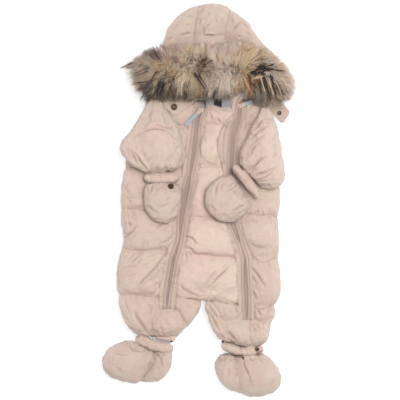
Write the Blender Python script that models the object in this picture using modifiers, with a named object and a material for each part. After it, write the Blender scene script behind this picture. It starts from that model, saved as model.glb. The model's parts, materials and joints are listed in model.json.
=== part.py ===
"""Padded baby snowsuit with a fur-trimmed hood, two front zips, mittens and booties, laid flat on its back.

Frame: +X to the right of someone looking down on the front, +Y towards the hood, +Z up, origin under the
middle of the laid-out suit. Sizes in the tables are millimetres. Every piece that a maker would cut is one
closed body. The suit lies in layers: back panels on the ground, front panels on them, and sleeves, mittens,
hood corner and fur on top of those.
"""

import math
from collections import namedtuple

import bmesh
import bpy
import numpy as np
from mathutils import Matrix, Vector
from mathutils.bvhtree import BVHTree

MM = 0.001
SEAM_GAP = 0.7  # clear space between sewn neighbours, per seam
LAYER_GAP = 0.3  # clear space between stacked layers

BACK_TOP = 22.0  # the back panels fill 0 to 22
FRONT_BASE = BACK_TOP + LAYER_GAP
FRONT_CROWN = 51.0  # highest point of a front baffle
FRONT_SEAM = 37.0  # height of the front along a quilting seam
UPPER_BASE = 42.3  # everything folded over the front lies on this level
FUR_BASE = 47.0  # the fur lies on the hood at this level
FUR_REACH = 193.3  # how far the longest locks reach to the right

ZIP_HALF = 5.2  # half the width of the zip tape that shows
FACING_WIDTH = 6.6  # stitched facing beside each zip
ZIP_TAPE_TOP = 34.0
ZIP_COIL_TOP = 35.6
FACING_TOP = 38.5
PANEL_OFFSET = ZIP_HALF + FACING_WIDTH + 2 * SEAM_GAP  # zip centre line to the padded panel

Edge = namedtuple("Edge", "y x")
Row = namedtuple("Row", "y left right")
Seam = namedtuple("Seam", "left right sag", defaults=[0.0])
Press = namedtuple("Press", "x0 y0 x1 y1 radius")
Lift = namedtuple("Lift", "y share")
FurRow = namedtuple("FurRow", "x low high bottom top")
Cuff = namedtuple("Cuff", "name path radius low high")
Snap = namedtuple("Snap", "name x y radius height onto")

# Side edges of the front, and of the back a little inside them.
BODY_LEFT = [
    Edge(204, -76), Edge(190, -90), Edge(176, -103), Edge(160, -114), Edge(140, -126), Edge(120, -139),
    Edge(104, -146), Edge(80, -147), Edge(60, -152), Edge(30, -155), Edge(-16, -159), Edge(-40, -157),
    Edge(-76, -152), Edge(-100, -159), Edge(-140, -164), Edge(-170, -165), Edge(-200, -163),
    Edge(-220, -157), Edge(-244, -147), Edge(-256, -141), Edge(-264, -134), Edge(-270, -127),
    Edge(-280, -124),
]
BODY_RIGHT = [
    Edge(204, 117), Edge(184, 130), Edge(156, 141), Edge(120, 149), Edge(80, 155), Edge(48, 158),
    Edge(10, 159), Edge(-28, 159), Edge(-60, 157), Edge(-100, 159), Edge(-150, 160), Edge(-190, 159),
    Edge(-210, 152), Edge(-232, 147), Edge(-256, 140), Edge(-276, 134), Edge(-300, 126),
]
INNER_LEG_LEFT = [
    Edge(-198, 7), Edge(-208, 2), Edge(-220, -2), Edge(-232, -10), Edge(-244, -20), Edge(-256, -28),
    Edge(-268, -38), Edge(-280, -49), Edge(-290, -54),
]
INNER_LEG_RIGHT = [
    Edge(-190, 11), Edge(-198, 11), Edge(-208, 12), Edge(-220, 14), Edge(-232, 18), Edge(-244, 21),
    Edge(-256, 27), Edge(-268, 35), Edge(-280, 45), Edge(-300, 52),
]
# The seam between the gusset inside the right leg and the leg's front.
GUSSET_SEAM = [
    Edge(-190, 26), Edge(-200, 30), Edge(-208, 35), Edge(-216, 38), Edge(-230, 41), Edge(-249, 46),
    Edge(-266, 54), Edge(-292, 70),
]

# Centre lines of the two zips, from the collar to the shin.
ZIP_LEFT = [
    Edge(192, 6), Edge(175, 0), Edge(153, -6), Edge(118, -10), Edge(88, -14), Edge(49, -20),
    Edge(8, -29), Edge(-34, -37), Edge(-72, -40), Edge(-102, -48), Edge(-122, -54), Edge(-153, -59),
    Edge(-180, -64), Edge(-216, -66),
]
ZIP_RIGHT = [
    Edge(196, 81), Edge(169, 78), Edge(148, 73), Edge(128, 67), Edge(108, 65), Edge(78, 64),
    Edge(40, 62), Edge(0, 62), Edge(-44, 67), Edge(-64, 73), Edge(-87, 81), Edge(-111, 88),
    Edge(-128, 90), Edge(-166, 91), Edge(-191, 93), Edge(-240, 94),
]
ZIP_LEFT_END = -213
ZIP_RIGHT_END = -236

# The wind flap that widens the inner facing of the right zip over the chest.
FLAP_EXTRA = [
    Edge(200, 0), Edge(172, 0), Edge(146, 8), Edge(116, 17), Edge(88, 12), Edge(68, 3), Edge(56, 0),
    Edge(44, 0), Edge(-240, 0),
]

# The rounded knee patch under the left zip.
KNEE_LEFT = [
    Edge(-216, -79), Edge(-223, -86), Edge(-237, -94), Edge(-252, -95), Edge(-263, -93),
    Edge(-280, -92),
]
KNEE_RIGHT = [
    Edge(-216, -46), Edge(-224, -38), Edge(-237, -33), Edge(-252, -33), Edge(-258, -34),
    Edge(-264, -37), Edge(-272, -43), Edge(-282, -53),
]

# The shin seam that carries on below the right zip.
SHIN_SEAM = [Edge(-236, 100), Edge(-250, 99.5), Edge(-270, 101), Edge(-302, 105)]

HOOD = [
    Row(391, 4, 30), Row(388, -10, 44), Row(382, -21, 56), Row(375, -30, 66), Row(368, -38, 76),
    Row(356, -51, 90), Row(344, -60, 100), Row(332, -66, 108), Row(320, -70, 116), Row(308, -76, 130),
    Row(296, -80, 143), Row(280, -86, 153), Row(260, -90, 159), Row(240, -88, 156), Row(222, -80, 145),
    Row(204, -66, 126),
]
HOOD_SEAM_LEFT = [Edge(392, 0), Edge(364, -6), Edge(316, -13), Edge(260, -18), Edge(200, -20)]
HOOD_SEAM_RIGHT = [
    Edge(392, 58), Edge(376, 59), Edge(352, 54), Edge(332, 50), Edge(260, 46), Edge(200, 44),
]

SLEEVE_LEFT = [
    Row(196, -98, -82), Row(180, -109, -67), Row(168, -117, -58), Row(156, -125, -48),
    Row(140, -134, -41), Row(120, -150, -37), Row(104, -158, -36), Row(88, -149, -36),
    Row(74, -134, -38), Row(64, -119, -43), Row(58, -102, -52),
]
SLEEVE_RIGHT = [
    Row(190, 126, 136), Row(170, 119, 144), Row(156, 111, 149), Row(138, 101, 154), Row(120, 91, 157),
    Row(100, 82, 161), Row(80, 78, 163), Row(64, 85, 165), Row(48, 99, 167), Row(38, 109, 166),
    Row(30, 118, 154), Row(24, 124, 138),
]
MITTEN_LEFT = [
    Row(33, -108, -43), Row(22, -112, -38), Row(4, -111, -38), Row(-12, -107, -40), Row(-24, -102, -43),
    Row(-34, -94, -50), Row(-40, -86, -58), Row(-43.5, -78, -65),
]
MITTEN_RIGHT = [
    Row(49, 45, 62), Row(40, 30, 69), Row(28, 18, 79), Row(16, 13, 88), Row(2, 12, 97),
    Row(-10, 14, 98), Row(-22, 21, 90), Row(-33, 32, 78), Row(-40, 46, 66),
]
TOE_LEFT = [
    Row(-284, -152, -136), Row(-292, -172, -123), Row(-300, -184, -100), Row(-308, -190, -90),
    Row(-318, -193, -93), Row(-330, -193, -99), Row(-342, -187, -106), Row(-352, -172, -111),
    Row(-359, -152, -115), Row(-363, -132, -118),
]
HEEL_LEFT = [
    Row(-303, -86, -56), Row(-316, -91, -56), Row(-328, -97, -60), Row(-340, -104, -64),
    Row(-352, -110, -72), Row(-359, -114, -86), Row(-363, -117, -101),
]
HEEL_RIGHT = [
    Row(-310, 42, 76.4), Row(-318, 36, 76.4), Row(-330, 34, 76.4), Row(-342, 36, 76.4),
    Row(-354, 41, 77.4), Row(-366, 49, 78.4), Row(-377, 61, 79.4), Row(-386, 76, 82),
]
TOE_RIGHT = [
    Row(-310, 77, 126), Row(-318, 77, 139), Row(-330, 77, 149), Row(-342, 77, 156), Row(-354, 78, 161),
    Row(-366, 79, 161), Row(-377, 80, 156), Row(-385, 83, 146), Row(-390, 104, 134),
]
TAB_LEFT = [
    Row(206, -84, -4), Row(197, -79, -8), Row(188, -72, -19), Row(178, -63, -34), Row(170, -56, -44),
    Row(167, -52, -48),
]
FUR = [
    FurRow(-134, 236, 262, 24, 44), FurRow(-123, 220, 273, 20, 60), FurRow(-110, 209, 281, 20, 72),
    FurRow(-98, 205, 286, 30, 78), FurRow(-91, 208, 290, 44, 80), FurRow(-84, 212, 292, 47, 82),
    FurRow(-44, 216, 298, 45.6, 84), FurRow(0, 216, 300, 45.6, 84), FurRow(40, 216, 300, 45.6, 84),
    FurRow(80, 228, 300, 45.6, 82), FurRow(130, 214, 288, 45.6, 84), FurRow(152, 200, 274, 45.6, 82),
    FurRow(162, 196, 262, 34, 72), FurRow(172, 200, 252, 26, 62), FurRow(180, 212, 240, 26, 48),
]

# Where something lies on the front and flattens it: capsules from one point to another.
PRESSED = [
    Press(-92, 186, -92, 160, 16), Press(-84, 158, -70, 92, 54), Press(-128, 104, -80, 88, 34),
    Press(132, 184, 128, 140, 22), Press(126, 130, 132, 46, 46), Press(-76, 46, -76, 10, 42),
    Press(-76, 0, -76, -12, 42), Press(56, 4, 56, 4, 56), Press(68, 66, 112, 12, 18),
    Press(-50, 190, -46, 184, 34), Press(-4, 178, -30, 151, 10), Press(84, 194, 110, 203, 12),
]

# How far the two walls of a sleeve or mitten rise, as a share of their full height, and where sections lie.
SLEEVE_PEAK, MITTEN_PEAK = 30, 24
SLEEVE_SPLIT, MITTEN_SPLIT = 14.7, 12  # where the under wall ends and the upper one starts
SLEEVE_LEFT_LIFT = [
    Lift(193, 0.45), Lift(172, 0.75), Lift(150, 0.92), Lift(146, 0.9), Lift(130, 1), Lift(80, 1),
    Lift(64, 0.8), Lift(58, 0.5),
]
SLEEVE_RIGHT_LIFT = [
    Lift(190, 0.45), Lift(172, 0.7), Lift(140, 0.95), Lift(110, 1), Lift(60, 1), Lift(40, 0.85),
    Lift(24, 0.5),
]
MITTEN_LEFT_LIFT = [Lift(33, 0.75), Lift(14, 1), Lift(-20, 0.95), Lift(-36, 0.75), Lift(-43.5, 0.4)]
MITTEN_RIGHT_LIFT = [
    Lift(49, 0.5), Lift(36, 0.85), Lift(16, 1), Lift(-10, 1), Lift(-30, 0.8), Lift(-40, 0.45),
]
SLEEVE_LEFT_LEVELS = [194, 187, 178, 168, 158, 150, 140, 128, 116, 104, 92, 80, 70, 63, 58]
SLEEVE_RIGHT_LEVELS = [190, 180, 170, 158, 144, 130, 116, 102, 90, 78, 68, 58, 48, 39, 31, 24]
MITTEN_LEFT_LEVELS = [33, 24, 14, 4, -6, -16, -24, -31, -37, -41, -43.5]
MITTEN_RIGHT_LEVELS = [49, 43, 35, 26, 16, 5, -6, -16, -26, -34, -40]

# Sections and full heights of the booties' lobes.
TOE_PEAK, HEEL_PEAK = 60, 54
TOE_LEFT_LEVELS = [-284, -290, -297, -303, -310, -320, -331, -342, -351, -358, -363]
HEEL_LEFT_LEVELS = [-303.5, -312, -322, -333, -343, -352, -358.5, -363]
HEEL_RIGHT_LEVELS = [-310.2, -319, -330, -342, -354, -366, -376, -385]
TOE_RIGHT_LEVELS = [-310.2, -319, -330, -342, -354, -366, -377, -385, -390]

# The rolled elastic edges: two at the wrists, two at the ankles.
CUFFS = [
    Cuff("mitten_cuff_left", [(-112, 45), (-76, 46), (-40, 45)], 10.6, UPPER_BASE, 74),
    Cuff("mitten_cuff_right", [(66, 68), (92, 41), (115, 6)], 9.7, UPPER_BASE, 74),
    Cuff("ankle_cuff_left", [(-130, -275.5), (-92, -286.7), (-53, -296.8)], 11, 0, 46),
    Cuff("ankle_cuff_right", [(43, -287), (84, -300.5), (128, -297.5)], 9.5, 0, 46),
]

# The hood's front corners: sections of the left one, and the plan outline of the right one.
TAB_LEFT_LEVELS = [206, 197, 188, 179, 172, 168.5]
TAB_LEFT_THICK, TAB_RIGHT_THICK, TAB_RIGHT_MIDDLE = 5.2, 6.0, 11.0
TAB_RIGHT = [
    (124, 201), (136, 184), (163, 157), (169, 156), (181, 175), (181, 181), (165, 199), (153, 214),
    (141.9, 222), (133.2, 213.5), (124.8, 206),
]

# Press studs that lie on a padded piece: where, how large, and on what. Those of the tabs come with them.
SNAP_LIFT = 0.9
SNAPS = [
    Snap("snap_mitten_left", -57.6, 27, 6.2, 2.6, "mitten_left_top"),
    Snap("snap_ankle_right", 114, -297, 4.2, 2.2, "ankle_cuff_right"),
    Snap("snap_bootie_right", 86, -315, 3.6, 2.0, "bootie_right_toe"),
]

# The welt of the left side pocket, in plan from top to bottom.
WELT = [(-146, 4), (-147, -18), (-143, -42), (-138, -64)]
WELT_HALF, WELT_LIFT, WELT_THICK = 3.2, 1.0, 2.2

# How low the locks of the fur may hang at a given x.
FUR_HEM = [
    Edge(200, -130), Edge(186, -108), Edge(196, -70), Edge(200, 0), Edge(204, 60), Edge(209, 84),
    Edge(209, 122), Edge(196, 146), Edge(184, 170), Edge(196, 186),
]

SHELL = ("blush_shell", (0.82, 0.68, 0.60), 0.45, 0.0)
FACING = ("facing", (0.78, 0.63, 0.56), 0.5, 0.0)
TAPE = ("zip_tape", (0.60, 0.48, 0.44), 0.7, 0.0)
LINING = ("grey_lining", (0.62, 0.63, 0.68), 0.8, 0.0)
FUR_COAT = ("fur", (0.55, 0.45, 0.34), 0.9, 0.0)
REFLECTIVE = ("reflective_tab", (0.58, 0.62, 0.62), 0.35, 0.0)
ENAMEL = ("slider_enamel", (0.74, 0.60, 0.53), 0.35, 0.3)
BRONZE = ("snap_bronze", (0.22, 0.16, 0.11), 0.35, 0.9)
LABEL = ("dark_label", (0.05, 0.05, 0.07), 0.7, 0.0)


# ---- helpers -------------------------------------------------------------------------------------


def clear_scene():
    for obj in list(bpy.data.objects):
        bpy.data.objects.remove(obj)


def collection(name, hidden=False):
    made = bpy.data.collections.new(name)
    bpy.context.scene.collection.children.link(made)
    made.hide_render = hidden
    return made


def material(spec):
    name, colour, roughness, metallic = spec
    found = bpy.data.materials.get(name)
    if found:
        return found
    made = bpy.data.materials.new(name)
    made.use_nodes = True
    shader = made.node_tree.nodes["Principled BSDF"]
    shader.inputs["Base Color"].default_value = (*colour, 1)
    shader.inputs["Roughness"].default_value = roughness
    shader.inputs["Metallic"].default_value = metallic
    made.diffuse_color = (*colour, 1)
    return made


def smooth(pairs):
    """A function of the first column: a cubic through the pairs, whose slopes come from their neighbours."""
    steps, values = (np.array(column, float) for column in zip(*sorted(pairs)))
    slopes = np.gradient(values, steps)

    def value_at(step):
        step = np.clip(step, steps[0], steps[-1])
        k = np.clip(np.searchsorted(steps, step) - 1, 0, len(steps) - 2)
        h = steps[k + 1] - steps[k]
        t = (step - steps[k]) / h
        start = (2 * t**3 - 3 * t**2 + 1) * values[k] + (t**3 - 2 * t**2 + t) * h * slopes[k]
        end = (3 * t**2 - 2 * t**3) * values[k + 1] + (t**3 - t**2) * h * slopes[k + 1]
        return start + end

    return value_at


def side(rows, name, offset=0.0):
    """The left or right column of a table of rows as a smooth function of y, moved by offset."""
    line = smooth([(row.y, getattr(row, name)) for row in rows])
    return lambda y: line(y) + offset


def shifted(pairs, offset):
    line = smooth(pairs)
    return lambda y: line(y) + offset


def allowed_height(x, y):
    """The height that the front may reach at a point: level with the upper layer where something lies on it,
    and rising away from it on a slope."""
    nearest = math.inf
    for spot in PRESSED:
        start, end = Vector((spot.x0, spot.y0)), Vector((spot.x1, spot.y1))
        run = end - start
        share = 0.0
        if run.length_squared:
            share = min(1.0, max(0.0, (Vector((x, y)) - start).dot(run) / run.length_squared))
        nearest = min(nearest, (Vector((x, y)) - start - run * share).length - spot.radius)
    return UPPER_BASE - 0.5 + max(0.0, nearest) * 0.8


def loft(name, rings, spec, into, smooth_shading=True):
    """A closed body through rings with the same number of points: a strip of quads between neighbours and one
    face at each end."""
    mesh = bmesh.new()
    rows = [[mesh.verts.new(Vector(point) * MM) for point in ring] for ring in rings]
    count = len(rows[0])
    for first, second in zip(rows, rows[1:]):
        for i in range(count):
            j = (i + 1) % count
            mesh.faces.new((first[i], first[j], second[j], second[i]))
    mesh.faces.new(rows[0][::-1])
    mesh.faces.new(rows[-1])
    if mesh.calc_volume(signed=True) < 0:
        bmesh.ops.reverse_faces(mesh, faces=mesh.faces)
    data = bpy.data.meshes.new(name)
    mesh.to_mesh(data)
    mesh.free()
    return place(name, data, spec, into, smooth_shading)


def place(name, data, spec, into, smooth_shading=True):
    obj = bpy.data.objects.new(name, data)
    data.materials.append(material(spec))
    if smooth_shading:
        data.shade_smooth()
        data.set_sharp_from_angle(angle=math.radians(50))
    into.objects.link(obj)
    return obj


def swell(t, sharpness=0.6):
    """0 at both ends of a baffle and 1 in its middle."""
    return math.sin(math.pi * min(max(t, 0.0), 1.0)) ** sharpness


# ---- padded pieces -------------------------------------------------------------------------------


def padded_rings(left, right, seams, base, crown, seam_top, flank=7.0, tuck=4.0, columns=6, notch=(3.0, 3.0),
                 ends=(0.0, 0.0), pressed=False,
                 steps=(0.0, 0.08, 0.2, 0.35, 0.5, 0.65, 0.8, 0.92)):
    """Sections of a padded panel, from its first seam to its last. Each section is flat below, widest at
    the flank and rounded on top. It swells between quilting seams and is drawn in by notch where one meets
    an edge. ends gives the share of the seam height that is left at the first and last row."""
    rows = [(seams[k], seams[k + 1], t, k) for k in range(len(seams) - 1) for t in steps]
    rows.append((seams[-2], seams[-1], 1.0, len(seams) - 2))
    rings = []
    for upper, lower, t, k in rows:
        puff = swell(t)
        level = Seam(*(a + (b - a) * t for a, b in zip(upper, lower)))
        y_left, y_right = level.left, level.right
        x_left = left(y_left) + notch[0] * (1 - puff)
        x_right = right(y_right) - notch[1] * (1 - puff)
        share = 1.0
        if k == 0 and t < 0.5:
            share = ends[0] + (1 - ends[0]) * math.sin(math.pi * t)
        if k == len(seams) - 2 and t > 0.5:
            share = ends[1] + (1 - ends[1]) * math.sin(math.pi * (1 - t))
        low = flank * (0.35 + 0.65 * share)
        peak = (seam_top + (crown - seam_top) * puff) * share
        width = x_right - x_left
        inset = min(tuck / width, 0.25)
        ring = [(x_left + width * inset, across(level, inset), base)]
        for i in range(columns + 1):
            angle = math.pi * i / columns
            u = 0.5 - 0.5 * math.cos(angle)
            x, y = x_left + width * u, across(level, u)
            z = base + low + max(0.0, peak - low) * math.sin(angle) ** 0.6
            if pressed:
                z = min(z, allowed_height(x, y))
            ring.append((x, y, z))
        ring.append((x_right - width * inset, across(level, 1 - inset), base))
        rings.append(ring)
    return rings


def across(level, u):
    """The y of a section at the share u of its width. A section may slope, and may sag in the middle."""
    return level.left + (level.right - level.left) * u - level.sag * 4 * u * (1 - u)


def slab_rings(left, right, levels, base, top, flank, tuck=8.0, lip=3.0):
    """Sections of a panel that is pressed flat above and below, with round flanks."""
    rings = []
    for level in levels:
        low = base(level.left) if callable(base) else base
        high = top(level.left) if callable(top) else top
        middle = low + (high - low) * flank
        x_left, x_right = left(level.left), right(level.right)
        width = x_right - x_left
        inset, edge = min(tuck / width, 0.3), min(lip / width, 0.15)
        shoulder = low + (middle - low) * 0.4
        half = [(inset, low), (inset * 0.3, shoulder), (0.0, middle), (edge, high)]
        if level.sag:
            half += [(0.3, high)]
        profile = half + [(1 - u, z) for u, z in reversed(half)]
        if level.sag:
            profile += [(0.7, low), (0.3, low)]
        rings.append([(x_left + width * u, across(level, u), z) for u, z in profile])
    return rings


def levels_between(top, bottom, count):
    return [top + (bottom - top) * i / (count - 1) for i in range(count)]


def sections_between(top, bottom, count):
    """Evenly spaced sections from one seam to another."""
    return [Seam(*(a + (b - a) * i / (count - 1) for a, b in zip(top, bottom))) for i in range(count)]


def build_back(into):
    """Three back panels on the ground: torso and two legs, split at the crotch."""
    left, right = shifted(BODY_LEFT, 4), shifted(BODY_RIGHT, -4)
    inner_left, inner_right = shifted(INNER_LEG_LEFT, -3), shifted(INNER_LEG_RIGHT, 3)
    for name, a, b, top, bottom, count in (
            ("back_torso", left, right, Seam(204, 204), Seam(-198, -198), 26),
            ("back_leg_left", left, inner_left, Seam(-198.5, -198.5, 0.1), Seam(-264, -285, 0.1), 9),
            ("back_leg_right", inner_right, right, Seam(-198.5, -198.5, 0.1), Seam(-275, -288, 8), 10)):
        loft(name, slab_rings(a, b, sections_between(top, bottom, count), 0, BACK_TOP, 0.5), SHELL, into)


def build_front(into):
    """Outer left, centre and outer right front panels, the chest and collar pieces and the inner legs."""
    crown, seam = FRONT_CROWN - FRONT_BASE, FRONT_SEAM - FRONT_BASE
    zip_left, zip_right = smooth(ZIP_LEFT), smooth(ZIP_RIGHT)
    knee_left, knee_right, shin = smooth(KNEE_LEFT), smooth(KNEE_RIGHT), smooth(SHIN_SEAM)
    flap, gusset = smooth(FLAP_EXTRA), smooth(GUSSET_SEAM)

    def left_inner(y):
        return zip_left(y) - PANEL_OFFSET if y > -216 else knee_left(y) - 2 * SEAM_GAP

    def centre_left(y):
        return zip_left(y) + PANEL_OFFSET

    def centre_right(y):
        return zip_right(y) - PANEL_OFFSET - max(0, flap(y))

    def front(name, left, right, seams, notch=(0.0, 0.0), **more):
        rings = padded_rings(left, right, seams, FRONT_BASE, crown, seam, notch=notch, pressed=True, **more)
        return loft(name, rings, SHELL, into)

    few = (0.0, 0.1, 0.24, 0.4, 0.56, 0.72, 0.88)
    front("front_left", smooth(BODY_LEFT), left_inner,
          [Seam(200, 200), Seam(151, 151), Seam(66, 68), Seam(-17, -20), Seam(-99, -102), Seam(-190, -192),
           Seam(-264, -271)], notch=(3.0, 0.0), ends=(0.7, 0.75), columns=7)
    front("front_right", lambda y: zip_right(y) + PANEL_OFFSET, smooth(BODY_RIGHT),
          [Seam(200, 200), Seam(151, 151), Seam(64, 60), Seam(-33, -33), Seam(-111, -117), Seam(-212, -210),
           Seam(-236, -246)], notch=(0.0, 4.0), ends=(0.7, 0.85), columns=7)
    front("front_centre", centre_left, centre_right,
          [Seam(67, 67), Seam(-33, -33), Seam(-111, -113), Seam(-190, -206)],
          ends=(0.8, 0.7), columns=7, flank=10)
    front("chest_panel", centre_left, centre_right, [Seam(150, 150), Seam(68.5, 68.5)],
          ends=(0.7, 0.8), flank=10)
    front("collar_centre", centre_left, centre_right, [Seam(189, 190), Seam(151, 151)],
          ends=(0.5, 0.7), flank=9)
    front("leg_left_inner", lambda y: centre_left(y) if y > -215 else knee_right(y) + SEAM_GAP,
          smooth(INNER_LEG_LEFT), [Seam(-191.5, -200), Seam(-252, -255)], notch=(0.0, 2.0), ends=(0.7, 0.6),
          columns=5, steps=few)
    front("leg_right_gusset", smooth(INNER_LEG_RIGHT), lambda y: gusset(y) - SEAM_GAP,
          [Seam(-199.5, -201), Seam(-234, -232), Seam(-276, -284)], notch=(2.0, 0.0), ends=(0.8, 0.7),
          columns=5, steps=few)
    front("leg_right_inner", lambda y: gusset(y) + SEAM_GAP, lambda y: zip_right(y) - PANEL_OFFSET,
          [Seam(-202, -208), Seam(-237, -236)], ends=(0.8, 0.85), columns=6, steps=few)
    front("shin_right_inner", lambda y: gusset(y) + SEAM_GAP, lambda y: shin(y) - SEAM_GAP,
          [Seam(-238.5, -238.5), Seam(-285, -291)], ends=(0.85, 0.75), columns=6, steps=few)
    front("shin_right_outer", lambda y: shin(y) + SEAM_GAP, smooth(BODY_RIGHT),
          [Seam(-238.5, -247.5), Seam(-291, -288)], notch=(0.0, 3.0), ends=(0.85, 0.75), columns=6, steps=few)
    front("knee_patch", knee_left, knee_right, [Seam(-217, -217), Seam(-270, -268)],
          ends=(0.7, 0.7), steps=few)
    hem = padded_rings(lambda y: knee_left(y) + 1, lambda y: knee_right(y) - 1,
                       [Seam(-271, -269), Seam(-276, -285)], FRONT_BASE, 9, 8,
                       flank=4, tuck=2, notch=(0, 0), ends=(0.8, 0.8), columns=4, steps=(0.0, 0.5))
    loft("ankle_hem_left", hem, LINING, into)


def build_hood(into):
    """A back panel on the ground, two side panels and a crown panel on it."""
    left, right = side(HOOD, "left"), side(HOOD, "right")
    back = slab_rings(lambda y: left(y) + 4, lambda y: right(y) - 4,
                      sections_between(Seam(388, 388), Seam(204.5, 204.5), 20), 0, BACK_TOP, 0.5)
    loft("hood_back", back, SHELL, into)
    seam_left, seam_right = smooth(HOOD_SEAM_LEFT), smooth(HOOD_SEAM_RIGHT)

    def over_fur_floor(rings):
        """Keeps the part under the fur below it."""
        return [[(x, y, min(z, FUR_BASE - 1 + max(0, y - 312) * 0.6)) for x, y, z in ring] for ring in rings]

    def panel(name, a, b, seams, notch, ends):
        rings = padded_rings(a, b, seams, FRONT_BASE, 31, 19, notch=notch, ends=ends, flank=8,
                             steps=(0.0, 0.1, 0.25, 0.5, 0.75, 0.9))
        loft(name, over_fur_floor(rings), SHELL, into)

    panel("hood_side_left", left, lambda y: seam_left(y) - SEAM_GAP,
          [Seam(382, 388.5), Seam(300, 322), Seam(204.5, 204.5)], (2.0, 0.0), (0.45, 0.5))
    panel("hood_crown", lambda y: seam_left(y) + SEAM_GAP, lambda y: seam_right(y) - SEAM_GAP,
          [Seam(390.5, 389.5), Seam(327, 327), Seam(204.5, 204.5)], (0.0, 0.0), (0.45, 0.5))
    panel("hood_side_right", lambda y: seam_right(y) + SEAM_GAP, right,
          [Seam(381, 374), Seam(322, 300), Seam(204.5, 204.5)], (0.0, 2.0), (0.45, 0.5))


def two_walls(name, rows, lift, peak, into, levels, split):
    """A flattened tube: an under wall and an upper wall that lie on each other."""
    left, right = side(rows, "left"), side(rows, "right")
    rising = smooth([(row.y, row.share) for row in lift])

    def meeting(y):
        return UPPER_BASE + split * rising(y)

    under = slab_rings(left, right, [Seam(y, y) for y in levels], UPPER_BASE, meeting, 0.55, tuck=7, lip=1.5)
    loft(name + "_under", under, SHELL, into)
    rings = []
    for y in levels:
        floor, share = meeting(y) + LAYER_GAP, rising(y)
        x_left, x_right = left(y), right(y)
        tuck = min(1.5, (x_right - x_left) * 0.1)
        ring = [(x_left + tuck, y, floor)]
        for i in range(9):
            angle = math.pi * i / 8
            z = floor + share * (4 + (peak - 4) * math.sin(angle) ** 0.65)
            ring.append((x_left + (x_right - x_left) * (0.5 - 0.5 * math.cos(angle)), y, z))
        ring.append((x_right - tuck, y, floor))
        rings.append(ring)
    loft(name + "_top", rings, SHELL, into)


def build_sleeves(into):
    """Both sleeves are folded over the chest."""
    two_walls("sleeve_left", SLEEVE_LEFT, SLEEVE_LEFT_LIFT, SLEEVE_PEAK, into, SLEEVE_LEFT_LEVELS,
              split=SLEEVE_SPLIT)
    two_walls("sleeve_right", SLEEVE_RIGHT, SLEEVE_RIGHT_LIFT, SLEEVE_PEAK, into, SLEEVE_RIGHT_LEVELS,
              split=SLEEVE_SPLIT)


def sausage(cuff, spec, into, sides=10, stops=9):
    """A rolled, elastic edge: a round-ended sausage along a path, as tall as from low to high."""
    name, path, radius, low, high = cuff
    run = smooth_path(path, stops)
    rings = []
    for i, (point, heading) in enumerate(run):
        t = i / (stops - 1)
        across = Vector((-heading.y, heading.x))
        swollen = max(0.35, (1 - abs(2 * t - 1) ** 4) ** 0.5)
        plump = 1 + 0.05 * math.sin(9 * t)
        middle, tall = 0.5 * (low + high), 0.5 * (high - low)
        ring = []
        for k in range(sides):
            angle = 2 * math.pi * (k + 0.5) / sides
            out = radius * swollen * plump * math.cos(angle)
            z = middle + max(-tall, min(tall, tall * 1.06 * math.sin(angle))) * (0.7 + 0.3 * swollen)
            if low < 1:
                z = max(low, z - tall * 0.3 * (1 - swollen))
            ring.append((point.x + across.x * out, point.y + across.y * out, z))
        rings.append(ring)
    return loft(name, rings, spec, into)


def smooth_path(points, count):
    """Points and headings at even steps along a smooth line through a few plan points."""
    xs = smooth([(tick, x) for tick, (x, _) in enumerate(points)])
    ys = smooth([(tick, y) for tick, (_, y) in enumerate(points)])
    run = []
    for i in range(count):
        t = (len(points) - 1) * i / (count - 1)
        ahead, behind = min(t + 0.01, len(points) - 1), max(t - 0.01, 0)
        heading = Vector((xs(ahead) - xs(behind), ys(ahead) - ys(behind))).normalized()
        run.append((Vector((xs(t), ys(t))), heading))
    return run


def build_mittens(into):
    """Each mitten has two walls, and a rolled cuff between it and the sleeve."""
    two_walls("mitten_left", MITTEN_LEFT, MITTEN_LEFT_LIFT, MITTEN_PEAK, into, MITTEN_LEFT_LEVELS,
              split=MITTEN_SPLIT)
    two_walls("mitten_right", MITTEN_RIGHT, MITTEN_RIGHT_LIFT, MITTEN_PEAK, into, MITTEN_RIGHT_LEVELS,
              split=MITTEN_SPLIT)
    for cuff in CUFFS[:2]:
        sausage(cuff, SHELL, into)


def grounded(name, rows, peak, into, levels, ends=(0.45, 0.35)):
    """One lobe of a bootie, flat on the ground and rounded above."""
    left, right = side(rows, "left"), side(rows, "right")
    rings = []
    for n, y in enumerate(levels):
        t = n / (len(levels) - 1)
        share = (ends[0] if t < 0.5 else ends[1])
        share += (1 - share) * math.sin(math.pi * t) ** 0.6
        x_left, x_right = left(y), right(y)
        tuck = min(10, (x_right - x_left) * 0.3)
        ring = [(x_left + tuck, y, 0), (x_left + tuck * 0.3, y, 0.1 * peak * share)]
        for i in range(9):
            angle = math.pi * i / 8
            z = peak * share * (0.32 + 0.68 * math.sin(angle) ** 0.7)
            ring.append((x_left + (x_right - x_left) * (0.5 - 0.5 * math.cos(angle)), y, z))
        ring += [(x_right - tuck * 0.3, y, 0.1 * peak * share), (x_right - tuck, y, 0)]
        rings.append(ring)
    loft(name, rings, SHELL, into)


def build_booties(into):
    """Rolled ankle cuffs, and booties lying on their sides in a toe and a heel piece each."""
    for cuff in CUFFS[2:]:
        sausage(cuff, SHELL, into)
    for name, rows, peak, levels, ends in (
            ("bootie_left_toe", TOE_LEFT, TOE_PEAK, TOE_LEFT_LEVELS, (0.4, 0.35)),
            ("bootie_left_heel", HEEL_LEFT, HEEL_PEAK, HEEL_LEFT_LEVELS, (0.7, 0.35)),
            ("bootie_right_heel", HEEL_RIGHT, HEEL_PEAK, HEEL_RIGHT_LEVELS, (0.75, 0.35)),
            ("bootie_right_toe", TOE_RIGHT, TOE_PEAK, TOE_RIGHT_LEVELS, (0.75, 0.35))):
        grounded(name, rows, peak, into, levels, ends)


# ---- zips and hardware ---------------------------------------------------------------------------


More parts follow.
